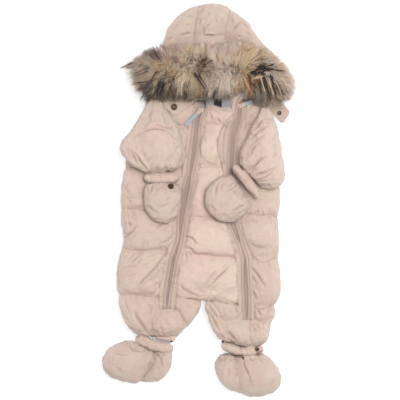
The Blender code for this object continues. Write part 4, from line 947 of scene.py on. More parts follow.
def padded_piece(name, pad, finish, slot="shell", swell=None, outset=1.7, edge_cap=2.2, held_low=False,
                 extra=None, shape=None, seed=0):
    """A stuffed piece in place of its solids: remeshed, eased outwards by outset, swelled by cloth pressure with
    its underside held, and shaped; divided once, and once more near its creases; then given its seams and folds
    along its normals, and what extra adds. swell and edge_cap limit the swelling on top and at the sides, in mm.
    held_low keeps what starts low, under another layer or along a seam, from rising."""
    cloth = settings().cloth
    mesh = joined_copy(name, pad.nodes)
    obj = placed(name, mesh, finish)
    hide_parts(*pad.nodes)
    remesh = obj.modifiers.new("even grid", "REMESH")
    remesh.mode = "VOXEL"
    remesh.voxel_size = pad.cell * MM
    ease = obj.modifiers.new("ease", "SMOOTH")
    ease.factor = 0.5
    ease.iterations = 5
    applied(obj)
    floor = min(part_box(node)[0][2] for node in pad.nodes)
    start, normal = read(obj.data), read(obj.data, "normal")
    start += normal * [1, 1, 0.15] * outset * MM
    start[:, 2] = np.maximum(start[:, 2], floor)
    write(obj.data, start)
    swelled(obj, np.flatnonzero(normal[:, 2] < -0.3))
    moved = read(obj.data) - start
    cap = np.full(len(start), (swell or cloth.swell / MM) * MM)
    if held_low:
        cap = np.interp(start[:, 2], LOW_LAYER, [0.0006, cloth.swell])
    cap = np.minimum(cap, np.interp(normal[:, 2], [0.0, 0.6], [edge_cap * MM, cloth.swell]))
    far = np.linalg.norm(moved, axis=1)
    moved *= np.minimum(1, cap / np.maximum(far, 1e-9))[:, None]
    write(obj.data, start + moved)
    if shape:
        write(obj.data, shape(read(obj.data)))
    divide = obj.modifiers.new("divide", "SUBSURF")
    divide.levels = divide.render_levels = 1
    applied(obj)
    if pad.cell < COARSE_CELL:
        near_crease = relief(read(obj.data) / MM, pad.layer, seed)[2]
        refined(obj.data, (near_crease > 0.35) & (read(obj.data, "normal")[:, 2] > 0.1))
    points, normal = read(obj.data), read(obj.data, "normal")
    height, mask, _ = relief(points / MM, pad.layer, seed)
    if extra:
        height, mask = extra(points / MM, height)
    top = np.interp(normal[:, 2], [-0.5, 0.1], [0.15, 1.0])
    points += normal * (height * top * cloth.relief * MM)[:, None]
    points[:, 2] = np.maximum(points[:, 2], floor)
    write(obj.data, points)
    # Painted shade of seams and folds, mostly on faces that look up.
    add_attribute(obj.data, "fold", mask * top)
    obj.data.shade_smooth()
    return obj


def swelled(obj, held):
    """Runs the cloth pressure over a closed mesh, with some points held, and keeps its last shape."""
    cloth = settings().cloth
    group = obj.vertex_groups.new(name="held")
    group.add(held.tolist(), 1.0, "REPLACE")
    simulation = obj.modifiers.new("swell", "CLOTH")
    simulation.collision_settings.use_collision = False
    form = simulation.settings
    form.vertex_group_mass = "held"
    form.effector_weights.gravity = 0
    form.use_pressure = True
    form.uniform_pressure_force = cloth.pressure
    form.shrink_min = -cloth.growth
    form.quality = 4
    form.mass = 0.3
    form.tension_stiffness = form.compression_stiffness = 15
    form.shear_stiffness = 5
    form.bending_stiffness = 0.02
    simulation.point_cache.frame_start = 1
    simulation.point_cache.frame_end = cloth.frames
    for step in range(1, cloth.frames + 1):
        bpy.context.scene.frame_set(step)
    applied(obj)
    bpy.context.scene.frame_set(1)
    obj.vertex_groups.clear()


def gathered_cuff(name, finish, seed):
    """A rolled elastic edge: its pad with gathers right round it, rounded between sharp valleys along the
    roll's line. The left ankle's is narrower above that line, where its hem shows."""
    line = curve_through(CUFF_PATHS[name], 24)
    deep = 1.0 if name.startswith("ankle") else 0.55

    def gathers(points, height):
        distance, along, _ = beside(points[:, :2], line)
        slant = along + 0.5 * points[:, 2] * ripple(along, 30, seed + 7) + 0.3 * distance
        fine, broad = np.abs(ripple(slant, 6.5, seed)), np.abs(ripple(slant + 40, 14, seed + 1))
        # The second value is painted shade in the valleys between the gathers.
        return (height * 0.4 + deep * (fine * 2.2 + broad * 2.0 - 2.0),
                deep * (np.clip(1 - fine * 5, 0, 1) * 0.3 + np.clip(1 - broad * 6, 0, 1) * 0.35))

    def narrowed(points):
        distance = beside(points[:, :2] / MM, line)[0]
        share = np.interp(points[:, 0] / MM, [-112, -100], [0, 1])
        points[:, 1] -= np.where(distance > 0, 0.3 * share, 0.28) * np.abs(distance) * MM
        return points

    pad = Pad([name], Layer([], [], 0.7), 3.4, 0.8)
    return padded_piece(name + "_soft", pad, finish, swell=2.0, outset=0.7, edge_cap=2.0, extra=gathers, seed=seed,
                        shape=narrowed if name == "ankle_cuff_left" else None)


# ---- materials ----------------------------------------------------------------------------------------------


class Tree:
    """A short way to fill a material or group. What feeds an input, by name or number, is linked to it where it
    is another node's output, and is its value otherwise."""

    def __init__(self, tree):
        self.tree = tree

    def add(self, kind, inputs=None, **properties):
        node = self.tree.nodes.new(kind)
        for name, value in properties.items():
            setattr(node, name, value)
        self.feed(node, inputs or {})
        return node

    def feed(self, node, inputs):
        for name, value in inputs.items():
            if isinstance(value, bpy.types.NodeSocket):
                self.tree.links.new(value, node.inputs[name])
            else:
                node.inputs[name].default_value = value

    def maths(self, operation, first, second=0.0):
        return self.add("ShaderNodeMath", {0: first, 1: second}, operation=operation).outputs[0]


def new_group(name, inputs, outputs):
    """A new shader group, its Tree, what is fed to it and its end. A socket is a colour where its default is
    None, and a value otherwise."""
    group = bpy.data.node_groups.new(name, "ShaderNodeTree")
    for way, sockets in (("INPUT", inputs), ("OUTPUT", outputs)):
        for title, default in sockets.items():
            kind = "NodeSocketColor" if default is None else "NodeSocketFloat"
            socket = group.interface.new_socket(title, in_out=way, socket_type=kind)
            if default is not None:
                socket.default_value = default
    tree = Tree(group)
    return group, tree, tree.add("NodeGroupInput").outputs, tree.add("NodeGroupOutput")


def cloth_group():
    """Shader group: the height of a fine plain weave and of small crinkles. Weave is the sine of x plus the
    sine of y, crinkles are folded noise."""
    found = bpy.data.node_groups.get("cloth_height")
    if found:
        return found
    group, tree, given, end = new_group(
        "cloth_height", {"Threads": 900.0, "Weave": 0.15, "Crinkles": 130.0, "Crinkle": 1.0}, {"Height": 0.0})
    place = tree.add("ShaderNodeTexCoord").outputs["Object"]
    warp, weft = [tree.add("ShaderNodeTexWave", {"Vector": place, "Scale": given["Threads"]}, wave_type="BANDS",
                           bands_direction=direction).outputs["Fac"] for direction in ("X", "Y")]
    weave = tree.maths("MULTIPLY", tree.maths("ADD", warp, weft), given["Weave"])
    noise = tree.add("ShaderNodeTexNoise", {"Vector": place, "Scale": given["Crinkles"], "Detail": 3.0,
                                            "Roughness": 0.55, "Distortion": 0.7}).outputs["Fac"]
    folded = tree.maths("ABSOLUTE", tree.maths("SUBTRACT", noise, 0.5))
    tree.feed(end, {"Height": tree.maths("ADD", weave, tree.maths("MULTIPLY", folded, given["Crinkle"]))})
    return group


def tone_group():
    """Shader group: a soft drift between two colours, by noise over the surface."""
    found = bpy.data.node_groups.get("colour_drift")
    if found:
        return found
    group, tree, given, end = new_group("colour_drift", {"First": None, "Second": None, "Scale": 14.0},
                                        {"Color": None, "Mask": 0.0})
    place = tree.add("ShaderNodeTexCoord").outputs["Object"]
    noise = tree.add("ShaderNodeTexNoise", {"Vector": place, "Scale": given["Scale"], "Detail": 4.0,
                                            "Roughness": 0.6}).outputs["Fac"]
    mask = tree.add("ShaderNodeMapRange", {"Value": noise, "From Min": 0.35, "From Max": 0.65}).outputs["Result"]
    tree.feed(end, {"Color": mixed(tree, mask, given["First"], given["Second"]), "Mask": mask})
    return group


def mixed(tree, share, first, second):
    """A colour that is second where share is 1 and first where it is 0."""
    mix = tree.add("ShaderNodeMix", {"Factor": share, "A": first, "B": second}, data_type="RGBA")
    return mix.outputs["Result"]


def new_finish(name):
    """A new material, its Tree and its shader."""
    made = bpy.data.materials.new(name)
    made.use_nodes = True
    return made, Tree(made.node_tree), made.node_tree.nodes["Principled BSDF"]


def drifting(tree, first, second, scale, smooth, rough):
    """Two colours in drift, the mask they drift by, and a roughness from smooth to rough by the same mask."""
    drift = tree.add("ShaderNodeGroup", node_tree=tone_group())
    tree.feed(drift, {"First": (*first, 1), "Second": (*second, 1), "Scale": scale})
    mask = drift.outputs["Mask"]
    shine = tree.add("ShaderNodeMapRange", {"Value": mask, "To Min": smooth, "To Max": rough})
    return drift.outputs["Color"], mask, shine.outputs["Result"]


def toned(colour, factor):
    return [value * factor for value in colour]


def cloth_finish(name, first, second, shade=None, roughness=0.45, weave=0.15, crinkle=1.0, depth=0.0005,
                 threads=900.0, crinkles=130.0, sheen=0.25, scale=14.0, specular=0.4, rim=None):
    """A woven cloth: two drifting colours, another where the attribute rim says, the painted shade colour deep in
    seams and folds where the attribute fold says, and a bump of weave and crinkles."""
    found = bpy.data.materials.get(name)
    if found:
        return found
    made, tree, shader = new_finish(name)
    colour, _, shine = drifting(tree, first, second, scale, roughness - 0.06, roughness + 0.08)
    # The fold attribute mixes in painted shade for seams and folds. rim mixes in another colour.
    for attribute, other in (("rim", rim), ("fold", shade)):
        if other:
            share = tree.add("ShaderNodeAttribute", attribute_name=attribute).outputs["Fac"]
            colour = mixed(tree, share, colour, (*other, 1))
    height = tree.add("ShaderNodeGroup", node_tree=cloth_group())
    tree.feed(height, {"Threads": threads, "Weave": weave, "Crinkles": crinkles, "Crinkle": crinkle})
    bump = tree.add("ShaderNodeBump", {"Strength": 0.8, "Distance": depth, "Height": height.outputs["Height"]})
    tree.feed(shader, {"Base Color": colour, "Roughness": shine, "Normal": bump.outputs["Normal"],
                       "Sheen Weight": sheen, "Sheen Roughness": 0.4, "Specular IOR Level": specular})
    return made


def shell_finish(name="shell_cloth", light=1.0):
    """The quilted shell's cloth. light is a factor on its colours: above 1 it is painted light and below 1 painted
    shade, so that one piece looks lighter or darker than the rest under the same lamps.
    """
    cloth = settings().cloth
    return cloth_finish(name, toned(cloth.pink, light), toned(cloth.beige, light), toned(cloth.shade, light),
                        roughness=0.28, depth=0.0028, crinkle=1.4, crinkles=105.0, specular=0.55)


# Painted shade: the facing's cloth is the shell's made darker and a little pinker beside the zip, with a darker
# fold shade; where rim says, it takes the shell's colour again.
def facing_finish():
    return cloth_finish("facing_cloth", (0.585, 0.435, 0.380), (0.65, 0.485, 0.422), (0.38, 0.25, 0.205),
                        roughness=0.32, depth=0.0028, crinkle=1.3, crinkles=110.0, specular=0.55,
                        rim=(0.735, 0.556, 0.468))


def thread_finish():
    return cloth_finish("sewing_thread", (0.40, 0.28, 0.24), (0.48, 0.35, 0.30), roughness=0.5, threads=3000.0,
                        crinkle=0.0)


def metal_finish(name, first, second, metallic, roughness, scale=300.0):
    """Cast and coated metal: two colours in fine drift, and a slight bump."""
    found = bpy.data.materials.get(name)
    if found:
        return found
    made, tree, shader = new_finish(name)
    colour, mask, shine = drifting(tree, first, second, scale, roughness * 0.8, roughness * 1.25)
    bump = tree.add("ShaderNodeBump", {"Strength": 0.3, "Distance": 0.0001, "Height": mask})
    tree.feed(shader, {"Base Color": colour, "Roughness": shine, "Metallic": metallic,
                       "Normal": bump.outputs["Normal"]})
    return made


def zip_finish():
    tape = settings().zips.colour
    return cloth_finish("zip_tape", toned(tape, 0.96), toned(tape, 1.04), roughness=0.7, weave=0.7, threads=700.0,
                        crinkle=0.2, depth=0.0003, sheen=0.1)


def teeth_finish():
    tape = settings().zips.colour
    return metal_finish("zip_teeth", toned(tape, 0.92), toned(tape, 1.05), 0.0, 0.4)


def bronze_finish():
    return metal_finish("aged_bronze", (0.030, 0.018, 0.011), (0.075, 0.047, 0.030), 0.55, 0.42)


def enamel_finish():
    return metal_finish("pull_enamel", (0.42, 0.30, 0.255), (0.48, 0.35, 0.30), 0.1, 0.5)


def reflective_finish():
    """Reflective tape: pale grey cloth with a grid of tiny glass beads, which is a bump here."""
    return cloth_finish("reflective_tape", (0.26, 0.275, 0.285), (0.32, 0.335, 0.345), roughness=0.34, weave=0.6,
                        threads=500.0, crinkle=0.1, depth=0.0002, scale=60.0, sheen=0.0, specular=0.6)


def fur_finish():
    """Hair: each hair's own colour from its attribute."""
    found = bpy.data.materials.get("fur_hair")
    if found:
        return found
    made, tree, shader = new_finish("fur_hair")
    tint = tree.add("ShaderNodeVertexColor", layer_name="tint")
    tree.feed(shader, {"Base Color": tint.outputs["Color"], "Roughness": 0.55, "Specular IOR Level": 0.3,
                       "Sheen Weight": 0.15})
    return made


def finish_node(node, finish):
    """Gives a solid that stays its finish."""
    obj = frame["nodes"][node]
    obj.data.materials.clear()
    obj.data.materials.append(finish)
    for place in obj.material_slots:
        place.material = finish


# ---- fur ----------------------------------------------------------------------------------------------------


def fur_headings(x, v, locks, hairs, rng):
    """The unit vector along which each hair leaves its root, at x and share v across the fur, and its share of
    the upper flow: that share runs from 0 to 1 over the wavering parting, both flows swirl, hair stands up most
    in the middle, and locks and hairs stray at random."""
    swirl = 16 * ripple(x + 300, 26, 71)
    upper = np.radians(looked_up([(row.x, row.upper) for row in FUR_FLOW], x) + swirl)
    lower = np.radians(looked_up([(row.x, row.lower) for row in FUR_FLOW], x) + 16 * ripple(x + 900, 31, 73))
    parting = 0.5 + 0.26 * ripple(x + 300, 30, 77) + 0.12 * ripple(x + 300, 12, 78)
    parting = parting + np.repeat(rng.normal(0, 0.13, locks), hairs)
    mix = np.clip((v - parting) / 0.30 + 0.5, 0, 1)
    mix = mix * mix * (3 - 2 * mix)
    heading = np.stack([mix * np.cos(upper) + (1 - mix) * np.cos(lower),
                        mix * np.sin(upper) + (1 - mix) * np.sin(lower),
                        0.10 + 0.34 * (1 - np.abs(2 * v - 1))], axis=1)
    stray = np.repeat(rng.normal(0, 0.24, (locks, 3)), hairs, axis=0) + rng.normal(0, 0.08, (len(x), 3))
    return unit(heading + stray * [1, 1, 0.5]), mix


def fur_part(name, number, parts, rng_seed):
    """A share of the fur trim. Roots lie on the trim's core, along its spine and across it, in locks. A hair runs
    along its heading, is drawn to its lock's middle and bends down as the square of the way along it."""
    fur = settings().fur
    rng = np.random.default_rng(rng_seed)
    locks = fur.locks // parts
    spine = curve_through(FUR_SPINE, 200)
    lo, hi = (FUR_FROM + FUR_SPAN * step / parts for step in (number, number + 1))
    x0 = rng.uniform(lo, hi, locks)
    across = rng.uniform(0.0, 1.0, locks)

    def spread(values, amount):
        return np.repeat(values, fur.hairs) + rng.normal(0, amount, locks * fur.hairs)

    x = np.clip(spread(x0, 3.4), -126, 176)
    v = np.clip(spread(across, 0.055), 0, 1)
    root = fur_surface(x, v, spine)
    heading, mix = fur_headings(x, v, locks, fur.hairs, rng)
    lengths = np.repeat(rng.uniform(0.65, 1.0, locks), fur.hairs) * rng.uniform(0.75, 1.0, len(x))
    lengths *= fur.length / MM * (1 + (looked_up(FUR_UPPER_LENGTH, x) - 1) * mix)
    lengths = fur_trimmed(root, heading, lengths, rng)
    middle = np.repeat(root.reshape(locks, fur.hairs, 3).mean(axis=1), fur.hairs, axis=0)
    way = fur_paths(root, heading, lengths, middle, rng)
    colours = fur_colours(way, locks, fur.hairs, rng)
    for lock in FUR_LOCKS:
        if lo <= min(max(lock.root[0], FUR_FROM + 1), FUR_FROM + FUR_SPAN - 1) < hi:
            more, tint = fur_lock(lock, spine, rng)
            way, colours = np.concatenate([way, more]), np.concatenate([colours, tint])
    free = clear_of_pull(way)
    return needles(name, way[free], colours[free], fur.thickness / MM)


def clear_of_pull(way):
    """True for each hair that stays out of the space through which the left pull turns: a sector about its
    hinge, a little wider than the grip, as far round as the hinge goes and as far out as the grip reaches."""
    hinge = next(joint for joint in frame["record"]["behaviour"]["joints"] if joint["name"] == "pull_left_lift")
    axis = np.array(hinge["axis"])
    outward_way = np.cross([0.0, 0.0, 1.0], axis)
    share = np.linspace(0, 3, 13)
    part = np.minimum(share.astype(int), 2)
    spots = way[:, part] + (share - part)[None, :, None] * (way[:, part + 1] - way[:, part])
    from_hinge = spots - np.array(hinge["pos_m"]) / MM
    along, out, up = from_hinge @ axis, from_hinge @ outward_way, from_hinge[..., 2]
    turned = np.degrees(np.arctan2(up, out))
    inside = ((np.abs(along) < GRIP_HALF) & (np.hypot(out, up) < GRIP_REACH)
              & (turned > 0) & (turned < hinge["range_deg"][1] + 8))
    return ~inside.any(axis=1)


def fur_surface(x, v, spine):
    """Points of the fur's hide at given x and share v across it, from its lower edge to its upper one: half an
    ellipse over the spine, whose height and width shrink towards both ends."""
    half = looked_up(FUR_HALF, x)
    angle = math.pi * (1.08 - 1.16 * v)
    return np.stack([x, looked_up(spine, x) + half * np.cos(angle),
                     looked_up(FUR_LEVEL, x) + 0.55 * half * np.sin(angle)], axis=1)


def fur_trimmed(root, heading, lengths, rng):
    """Shortens hair so that its tips stay above the hem of the fur and inside its two ends."""
    tips = root + lengths[:, None] * heading
    lowest = looked_up(FUR_LOWEST, tips[:, 0]) + rng.uniform(-2, 8, len(root))
    over = (tips[:, 1] < lowest) & (root[:, 1] > lowest + 4)
    share = np.where(over, (root[:, 1] - lowest) / np.maximum(root[:, 1] - tips[:, 1], 1e-6), 1.0)
    slack = rng.uniform(-1, 7, len(root))
    for table, way in ((FUR_RIGHT, 1), (FUR_LEFT, -1)):
        end = way * looked_up(table, tips[:, 1]) - slack
        past = way * tips[:, 0] > end
        kept = (end - way * root[:, 0]) / (way * (tips[:, 0] - root[:, 0]) + 1e-6)
        share = np.where(past, np.minimum(share, kept), share)
    return lengths * np.clip(share, 0.12, 1)


def fur_paths(root, heading, lengths, middle, rng):
    """Four points along each hair: straight on from the root, bent down as the square of the way along it, and
    drawn to its lock's middle. Hair over the hood or the chest stays above the cloth."""
    bend = np.stack([heading[:, 0] * 0.2, heading[:, 1] * 0.2 - 0.12, np.full(len(root), -0.45)], axis=1)
    shares = np.array([0.0, 0.4, 0.75, 1.0])
    way = (root[:, None, :] + shares[None, :, None] * (lengths[:, None] * heading)[:, None, :]
           + (shares**2)[None, :, None] * (lengths[:, None] * bend * 0.5)[:, None, :])
    way = way + (shares**1.3)[None, :, None] * 0.82 * (middle - root)[:, None, :]
    x, y = way[..., 0], way[..., 1]
    low = np.where((x > -92) & (x < 156), OVER_CHEST, BESIDE)
    low = np.where((x > -88) & (x < 146) & (y > 214), OVER_HOOD, low)
    way[..., 2] = np.clip(way[..., 2], low + rng.uniform(0, 3, len(root))[:, None] * shares, 99)
    return way


def fur_lock(lock, spine, rng):
    """The hairs of one named lock: they start round its root on the fur's surface, and meet near its tip, above
    the hair around them."""
    count = lock.hairs
    spot = np.array(lock.root) + rng.normal(0, lock.spread, (count, 2))
    rise = np.clip(1 - ((spot[:, 1] - looked_up(spine, spot[:, 0])) / 40) ** 2, 0, 1)
    height = looked_up(LOCK_LEVEL, spot[:, 0]) + 17 * rise + rng.uniform(7, 12, count)
    root = np.column_stack([spot, height])
    aim = np.column_stack([np.array(lock.tip) + rng.normal(0, lock.spread * 0.4, (count, 2)), height + 6])
    run = aim - root
    lengths = np.linalg.norm(run, axis=1) * rng.uniform(0.8, 1.05, count)
    way = fur_paths(root, unit(run), lengths, np.tile(root.mean(axis=0), (count, 1)), rng)
    tint = np.array(lock.colour) * rng.uniform(0.85, 1.25, (count, 1))
    return way, np.tile(np.clip(tint, 0.01, 0.95)[:, None, :] ** 2.0, (1, 10, 1))


def needles(name, way, colours, thickness):
    """One mesh of hairs: each is a closed needle of three sides, with a ring at each of the first three points of
    its path, thinner towards the tip, and a point at the last."""
    along = unit(np.gradient(way, axis=1), 1e-9)
    first = unit(np.cross(along, [0.0, 0.3, 1.0]), 1e-9)
    second = np.cross(along, first)
    turn = round_angles(3)[None, None, :, None]
    radius = thickness / 2 * np.array([1.0, 0.85, 0.5])
    rings = way[:, :3, None, :] + radius[None, :, None, None] * (
        np.cos(turn) * first[:, :3, None, :] + np.sin(turn) * second[:, :3, None, :])
    count = len(way)
    points = np.concatenate([rings.reshape(count, 9, 3), way[:, 3:4, :]], axis=1)
    pattern = []
    for ring in (0, 3):
        for j in range(3):
            k = (j + 1) % 3
            pattern += [[ring + j, ring + k, ring + 3 + k], [ring + j, ring + 3 + k, ring + 3 + j]]
    pattern += [[6 + j, 6 + (j + 1) % 3, 9] for j in range(3)]
    pattern += [[2, 1, 0]]
    faces = np.asarray(pattern)[None] + (np.arange(count) * 10)[:, None, None]
    obj = solid(name, points * MM, faces.reshape(-1, 3).tolist(), fur_finish())
    add_attribute(obj.data, "tint", colours.reshape(-1, 3))
    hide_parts("fur_trim")
    return obj


def fur_colours(way, locks, hairs, rng):
    """A colour for each of a hair's ten points: its lock takes the patch that its middle lies in, by chance as
    the patch's share, and the hair is darker at the root and drifts a little from its lock."""
    spot = way.reshape(locks, hairs, 4, 3)[:, :, 2, :2].mean(axis=1)
    base = np.array(FUR_BASE)[rng.integers(0, len(FUR_BASE), locks)]
    for patch in FUR_PATCHES:
        inside = ((spot[:, 0] - patch.x) / patch.wide) ** 2 + ((spot[:, 1] - patch.y) / patch.tall) ** 2
        chance = patch.share * np.exp(-np.maximum(0, inside - 0.6) * 1.8)
        taken = rng.uniform(size=locks) < chance
        base[taken] = patch.colour
    base = base * rng.uniform(0.93, 1.07, (locks, 1))
    hair = np.repeat(base, hairs, axis=0) * rng.uniform(0.94, 1.06, (locks * hairs, 1))
    dark = rng.uniform(size=locks * hairs) < 0.025
    hair[dark] *= 0.6
    low_tip = np.repeat((spot[:, 1] < 222) & (rng.uniform(size=locks) < 0.4), hairs)
    level = np.tile([0.90] * 3 + [1.0] * 3 + [1.06] * 3 + [1.04], (locks * hairs, 1))
    level[low_tip] *= [1.0] * 6 + [0.6] * 3 + [0.35]
    colour = hair[:, None, :] * level[..., None]
    return np.clip(0.93 * colour ** 2.05, 0.008, 0.93)


def fur_core():
    """The hide under the hair: a soft tube along the spine."""
    spine = curve_through(FUR_SPINE, 200)
    x = np.linspace(-132, 180, 60)
    v = np.linspace(0, 1, 12)
    upper = fur_surface(np.repeat(x, 12), np.tile(v, 60), spine).reshape(60, 12, 3) - [0, 0, 1.5]
    under = upper[:, [9, 6, 3], :] * [1, 1, 0]
    under[..., 2] = np.maximum(upper[:, [9, 6, 3], 2] - 26, 15)
    finish = cloth_finish("fur_hide", (0.62, 0.50, 0.38), (0.74, 0.63, 0.50), roughness=0.8, crinkles=400.0,
                          depth=0.002, crinkle=2.0, sheen=0.4)
    obj = closed_tube("fur_core", np.concatenate([upper, under], axis=1) * MM, finish)
    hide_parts("fur_trim")
    return obj


# ---- operators ----------------------------------------------------------------------------------------------


def pads(table, first_seed, finish=None, **options):
    finish = finish or shell_finish()
    return [padded_piece(name + "_soft", pad, finish, seed=first_seed + 7 * number, **options)
            for number, (name, pad) in enumerate(table.items())]


def laid_roll(name, line, half_width, lift, onto, finish):
    """A flat roll of cloth lying along a plan line on a surface: rings whose width and height run out at both
    ends as the fourth root of a sine, half sunk in the surface."""
    spots, heading = evenly(curve_through(line, 60) * MM, 0.0015)
    places, _ = onto(spots)
    share = np.linspace(0, 1, len(spots))
    taper = np.maximum(np.sin(math.pi * share), 0.02) ** 0.25
    across = np.column_stack([leftward(heading), np.zeros(len(heading))])
    angle = round_angles(10)
    wave = 1 + 0.12 * ripple(share * 90, 9, len(name))[:, None]
    rings = (places[:, None, :] + across[:, None, :] * (np.cos(angle) * half_width * MM)[None, :, None]
             * (taper[:, None] * wave)[..., None])
    rings[..., 2] += np.sin(angle)[None, :] * lift * MM * taper[:, None] * wave + 0.0002
    return closed_tube(name, rings, finish)


def centre_shape(points):
    """The middle front panel. Its top edge dips between the two zips: y moves by a curve of x that fades out
    below the edge. Its lower edge moves down onto the legs by a bell curve of the distance from their seam, and
    the cloth above that seam is kept full."""
    x, y = points[:, 0] / MM, points[:, 1] / MM
    points[:, 1] += looked_up(COLLAR_DIP, x) * np.clip((y - 172) / 14, 0, 1) * MM
    gap = beside(np.stack([x, y], axis=1), curve_through(LEG_SEAM, 40))[0]
    full = bell(gap - 4, 9) * np.interp(x, [-8, 14, 66, 82], [0, 1, 1, 0.3])
    points[:, 2] += 5.0 * MM * full * np.clip((points[:, 2] / MM - 28) / 8, 0, 1)
    points[:, 1] -= 3.6 * MM * bell(gap, 7)
    return points


def leg_shape(points):
    """The right leg, flat beside its zip: what stands above 43 mm there sinks by 0.72 of its height over it."""
    x, y = points[:, 0] / MM, points[:, 1] / MM
    near = np.interp(x, [18, 30, 84, 92], [0, 1, 1, 0]) * np.interp(y, [-262, -244, -196, -186], [0, 1, 1, 0])
    points[:, 2] -= near * np.maximum(points[:, 2] / MM - 43.0, 0) * 0.72 * MM
    return points


class SNOWSUIT_OT_body(bpy.types.Operator):
    """Front and back panels, chest, collar and legs"""

    bl_idname = "snowsuit.body"
    bl_label = "Body panels"

    def execute(self, context):
        pads(BACK_PADS, 900, swell=2.0, edge_cap=1.5)
        shapes = {"front_centre": centre_shape, "front_right": leg_shape}
        # Painted light: pale is the shell cloth made 1.11 times lighter for the middle front, which the fur and
        # sleeves shade.
        pale = shell_finish("shell_cloth_painted_lighter", 1.11)
        for number, (name, pad) in enumerate(FRONT_PADS.items()):
            padded_piece(name + "_soft", pad, pale if name == "front_centre" else shell_finish(), held_low=True,
                         outset=1.3, seed=100 + 7 * number, shape=shapes.get(name))
        return {"FINISHED"}


class SNOWSUIT_OT_hood(bpy.types.Operator):
    """Hood panels and the hood's two front corners"""

    bl_idname = "snowsuit.hood"
    bl_label = "Hood"

    def execute(self, context):
        # Painted shade: the hood's cloth is made 0.92 times as light as the rest, because it faces up and open to
        # the light.
        finish = shell_finish("shell_cloth_painted_darker_hood", 0.92)
        pads(HOOD_PADS, 300, finish, outset=1.0)
        corners = {name: Pad([name], Layer([], [], 0.3), 2.6, 0.3) for name in ("hood_tab_left", "hood_tab_right")}
        pads(corners, 360, swell=0.8, outset=0.5, edge_cap=0.6)
        return {"FINISHED"}


def sleeve_rise(points):
    """The left sleeve's shoulder, which runs up under the fur: y grows above the armhole."""
    y = points[:, 1] / MM
    points[:, 1] += np.clip(y - 172, 0, 30) * 0.42 * MM
    return points


class SNOWSUIT_OT_sleeves(bpy.types.Operator):
    """Both sleeves, folded over the chest"""

    bl_idname = "snowsuit.sleeves"
    bl_label = "Sleeves"

    def execute(self, context):
        finish = shell_finish()
        for number, (side, pad) in enumerate(SLEEVE_PADS.items()):
            padded_piece(side + "_soft", pad, finish, outset=0.8, seed=400 + 7 * number,
                         shape=sleeve_rise if side == "sleeve_left" else None)
        return {"FINISHED"}


class SNOWSUIT_OT_mittens(bpy.types.Operator):
    """Mittens and their rolled cuffs"""

    bl_idname = "snowsuit.mittens"
    bl_label = "Mittens"

    def execute(self, context):
        # Painted shade: the mittens' cloth is made 0.95 times as light as the rest.
        pads(MITTEN_PADS, 500, shell_finish("shell_cloth_painted_darker_low", 0.95), outset=0.8)
        for number, name in enumerate(("mitten_cuff_left", "mitten_cuff_right")):
            gathered_cuff(name, shell_finish(), 540 + 10 * number)
        return {"FINISHED"}


class SNOWSUIT_OT_booties(bpy.types.Operator):
    """Booties, rolled ankle cuffs and the reflective hem at the left ankle"""

    bl_idname = "snowsuit.booties"
    bl_label = "Booties"

    def execute(self, context):
        # Painted shade: the booties' cloth is made 0.95 times as light as the rest.
        pads(BOOTIE_PADS, 600, shell_finish("shell_cloth_painted_darker_low", 0.95), outset=0.8, edge_cap=3.0)
        for number, name in enumerate(("ankle_cuff_left", "ankle_cuff_right")):
            gathered_cuff(name, shell_finish(), 640 + 10 * number)
        hem = Pad(["ankle_hem_left"], Layer([], [], 0.3), 2.6, 0.3)
        soft = padded_piece("ankle_hem_soft", hem, shell_finish(), "lining", swell=0.8, outset=0.6, edge_cap=0.8,
                            seed=660)
        laid_roll("ankle_reflective_band", [(-96, -275.4), (-84, -280.0), (-58, -285.2)], 2.1, 1.3,
                  surface_below(soft), reflective_finish())
        return {"FINISHED"}


class SNOWSUIT_OT_zips(bpy.types.Operator):
    """Tapes, teeth and stitched facings of both zips"""

    bl_idname = "snowsuit.zips"
    bl_label = "Zips"

    def execute(self, context):
        zip_piece("left", ZIP_LEFT, 186, -213)
        zip_piece("right", ZIP_RIGHT, 188, -236)
        front = surface_below(*(bpy.data.objects[name + "_soft"] for name in FRONT_PADS))
        stitch_row("zip_right_bar", curve_through([(58, -234), (76, -236), (84, -236)], 12), front)
        return {"FINISHED"}


def zip_piece(side, line, top, end):
    """Tape, teeth and facings of one zip, each carried along the zip's line."""
    smooth_line = curve_through(line, 400)
    smooth_line = smooth_line[(smooth_line[:, 1] <= top) & (smooth_line[:, 1] >= end)]
    spots, heading = evenly(smooth_line, 2.0)
    rings = carried(spots, leftward(heading), TAPE_PROFILE)
    tape = closed_tube(f"zip_{side}_tape_cloth", rings, zip_finish())
    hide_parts(f"zip_{side}_tape")
    places, way = evenly(smooth_line, settings().zips.tooth_pitch / MM)
    axes = frames_along(np.column_stack([way, np.zeros(len(way))]))
    points, faces = bead(0.00085, 0.0019, 0.0008)
    centre = np.column_stack([places, np.full(len(places), TEETH_LEVEL)]) * MM
    repeated(f"zip_{side}_teeth", points, faces, centre, axes, teeth_finish())
    for place in ("inner", "outer"):
        zip_facing(side, place, line, end)


def facing_line(side, place, line, end):
    """Where a facing runs: plan points a step apart along its zip's line, which it passes at both ends, and the
    headings there."""
    whole = [*line, (line[-1][0] - 0.3, end - 12)]
    if side == "right":
        whole = [(90, 222), (84, 206), *whole]
    smooth_line = curve_through(whole, 400)
    y = smooth_line[:, 1]
    return evenly(smooth_line[(y <= FACING_TOPS[side, place]) & (y >= end - 7)], FACING_STEP)


def flap_rest(spots, free):
    """How much higher than a facing the flap's edge lies, to rest on the chest panel below some plan points: the
    mean of seven neighbours' heights over the facing."""
    panel = surface_below(bpy.data.objects["front_centre_soft"])(spots * MM)[0][:, 2] / MM
    rest = free * (np.clip(panel, 37, 46) + 0.9 - 37.0)
    return np.convolve(np.pad(rest, 3, mode="edge"), np.full(7, 1 / 7), mode="valid")


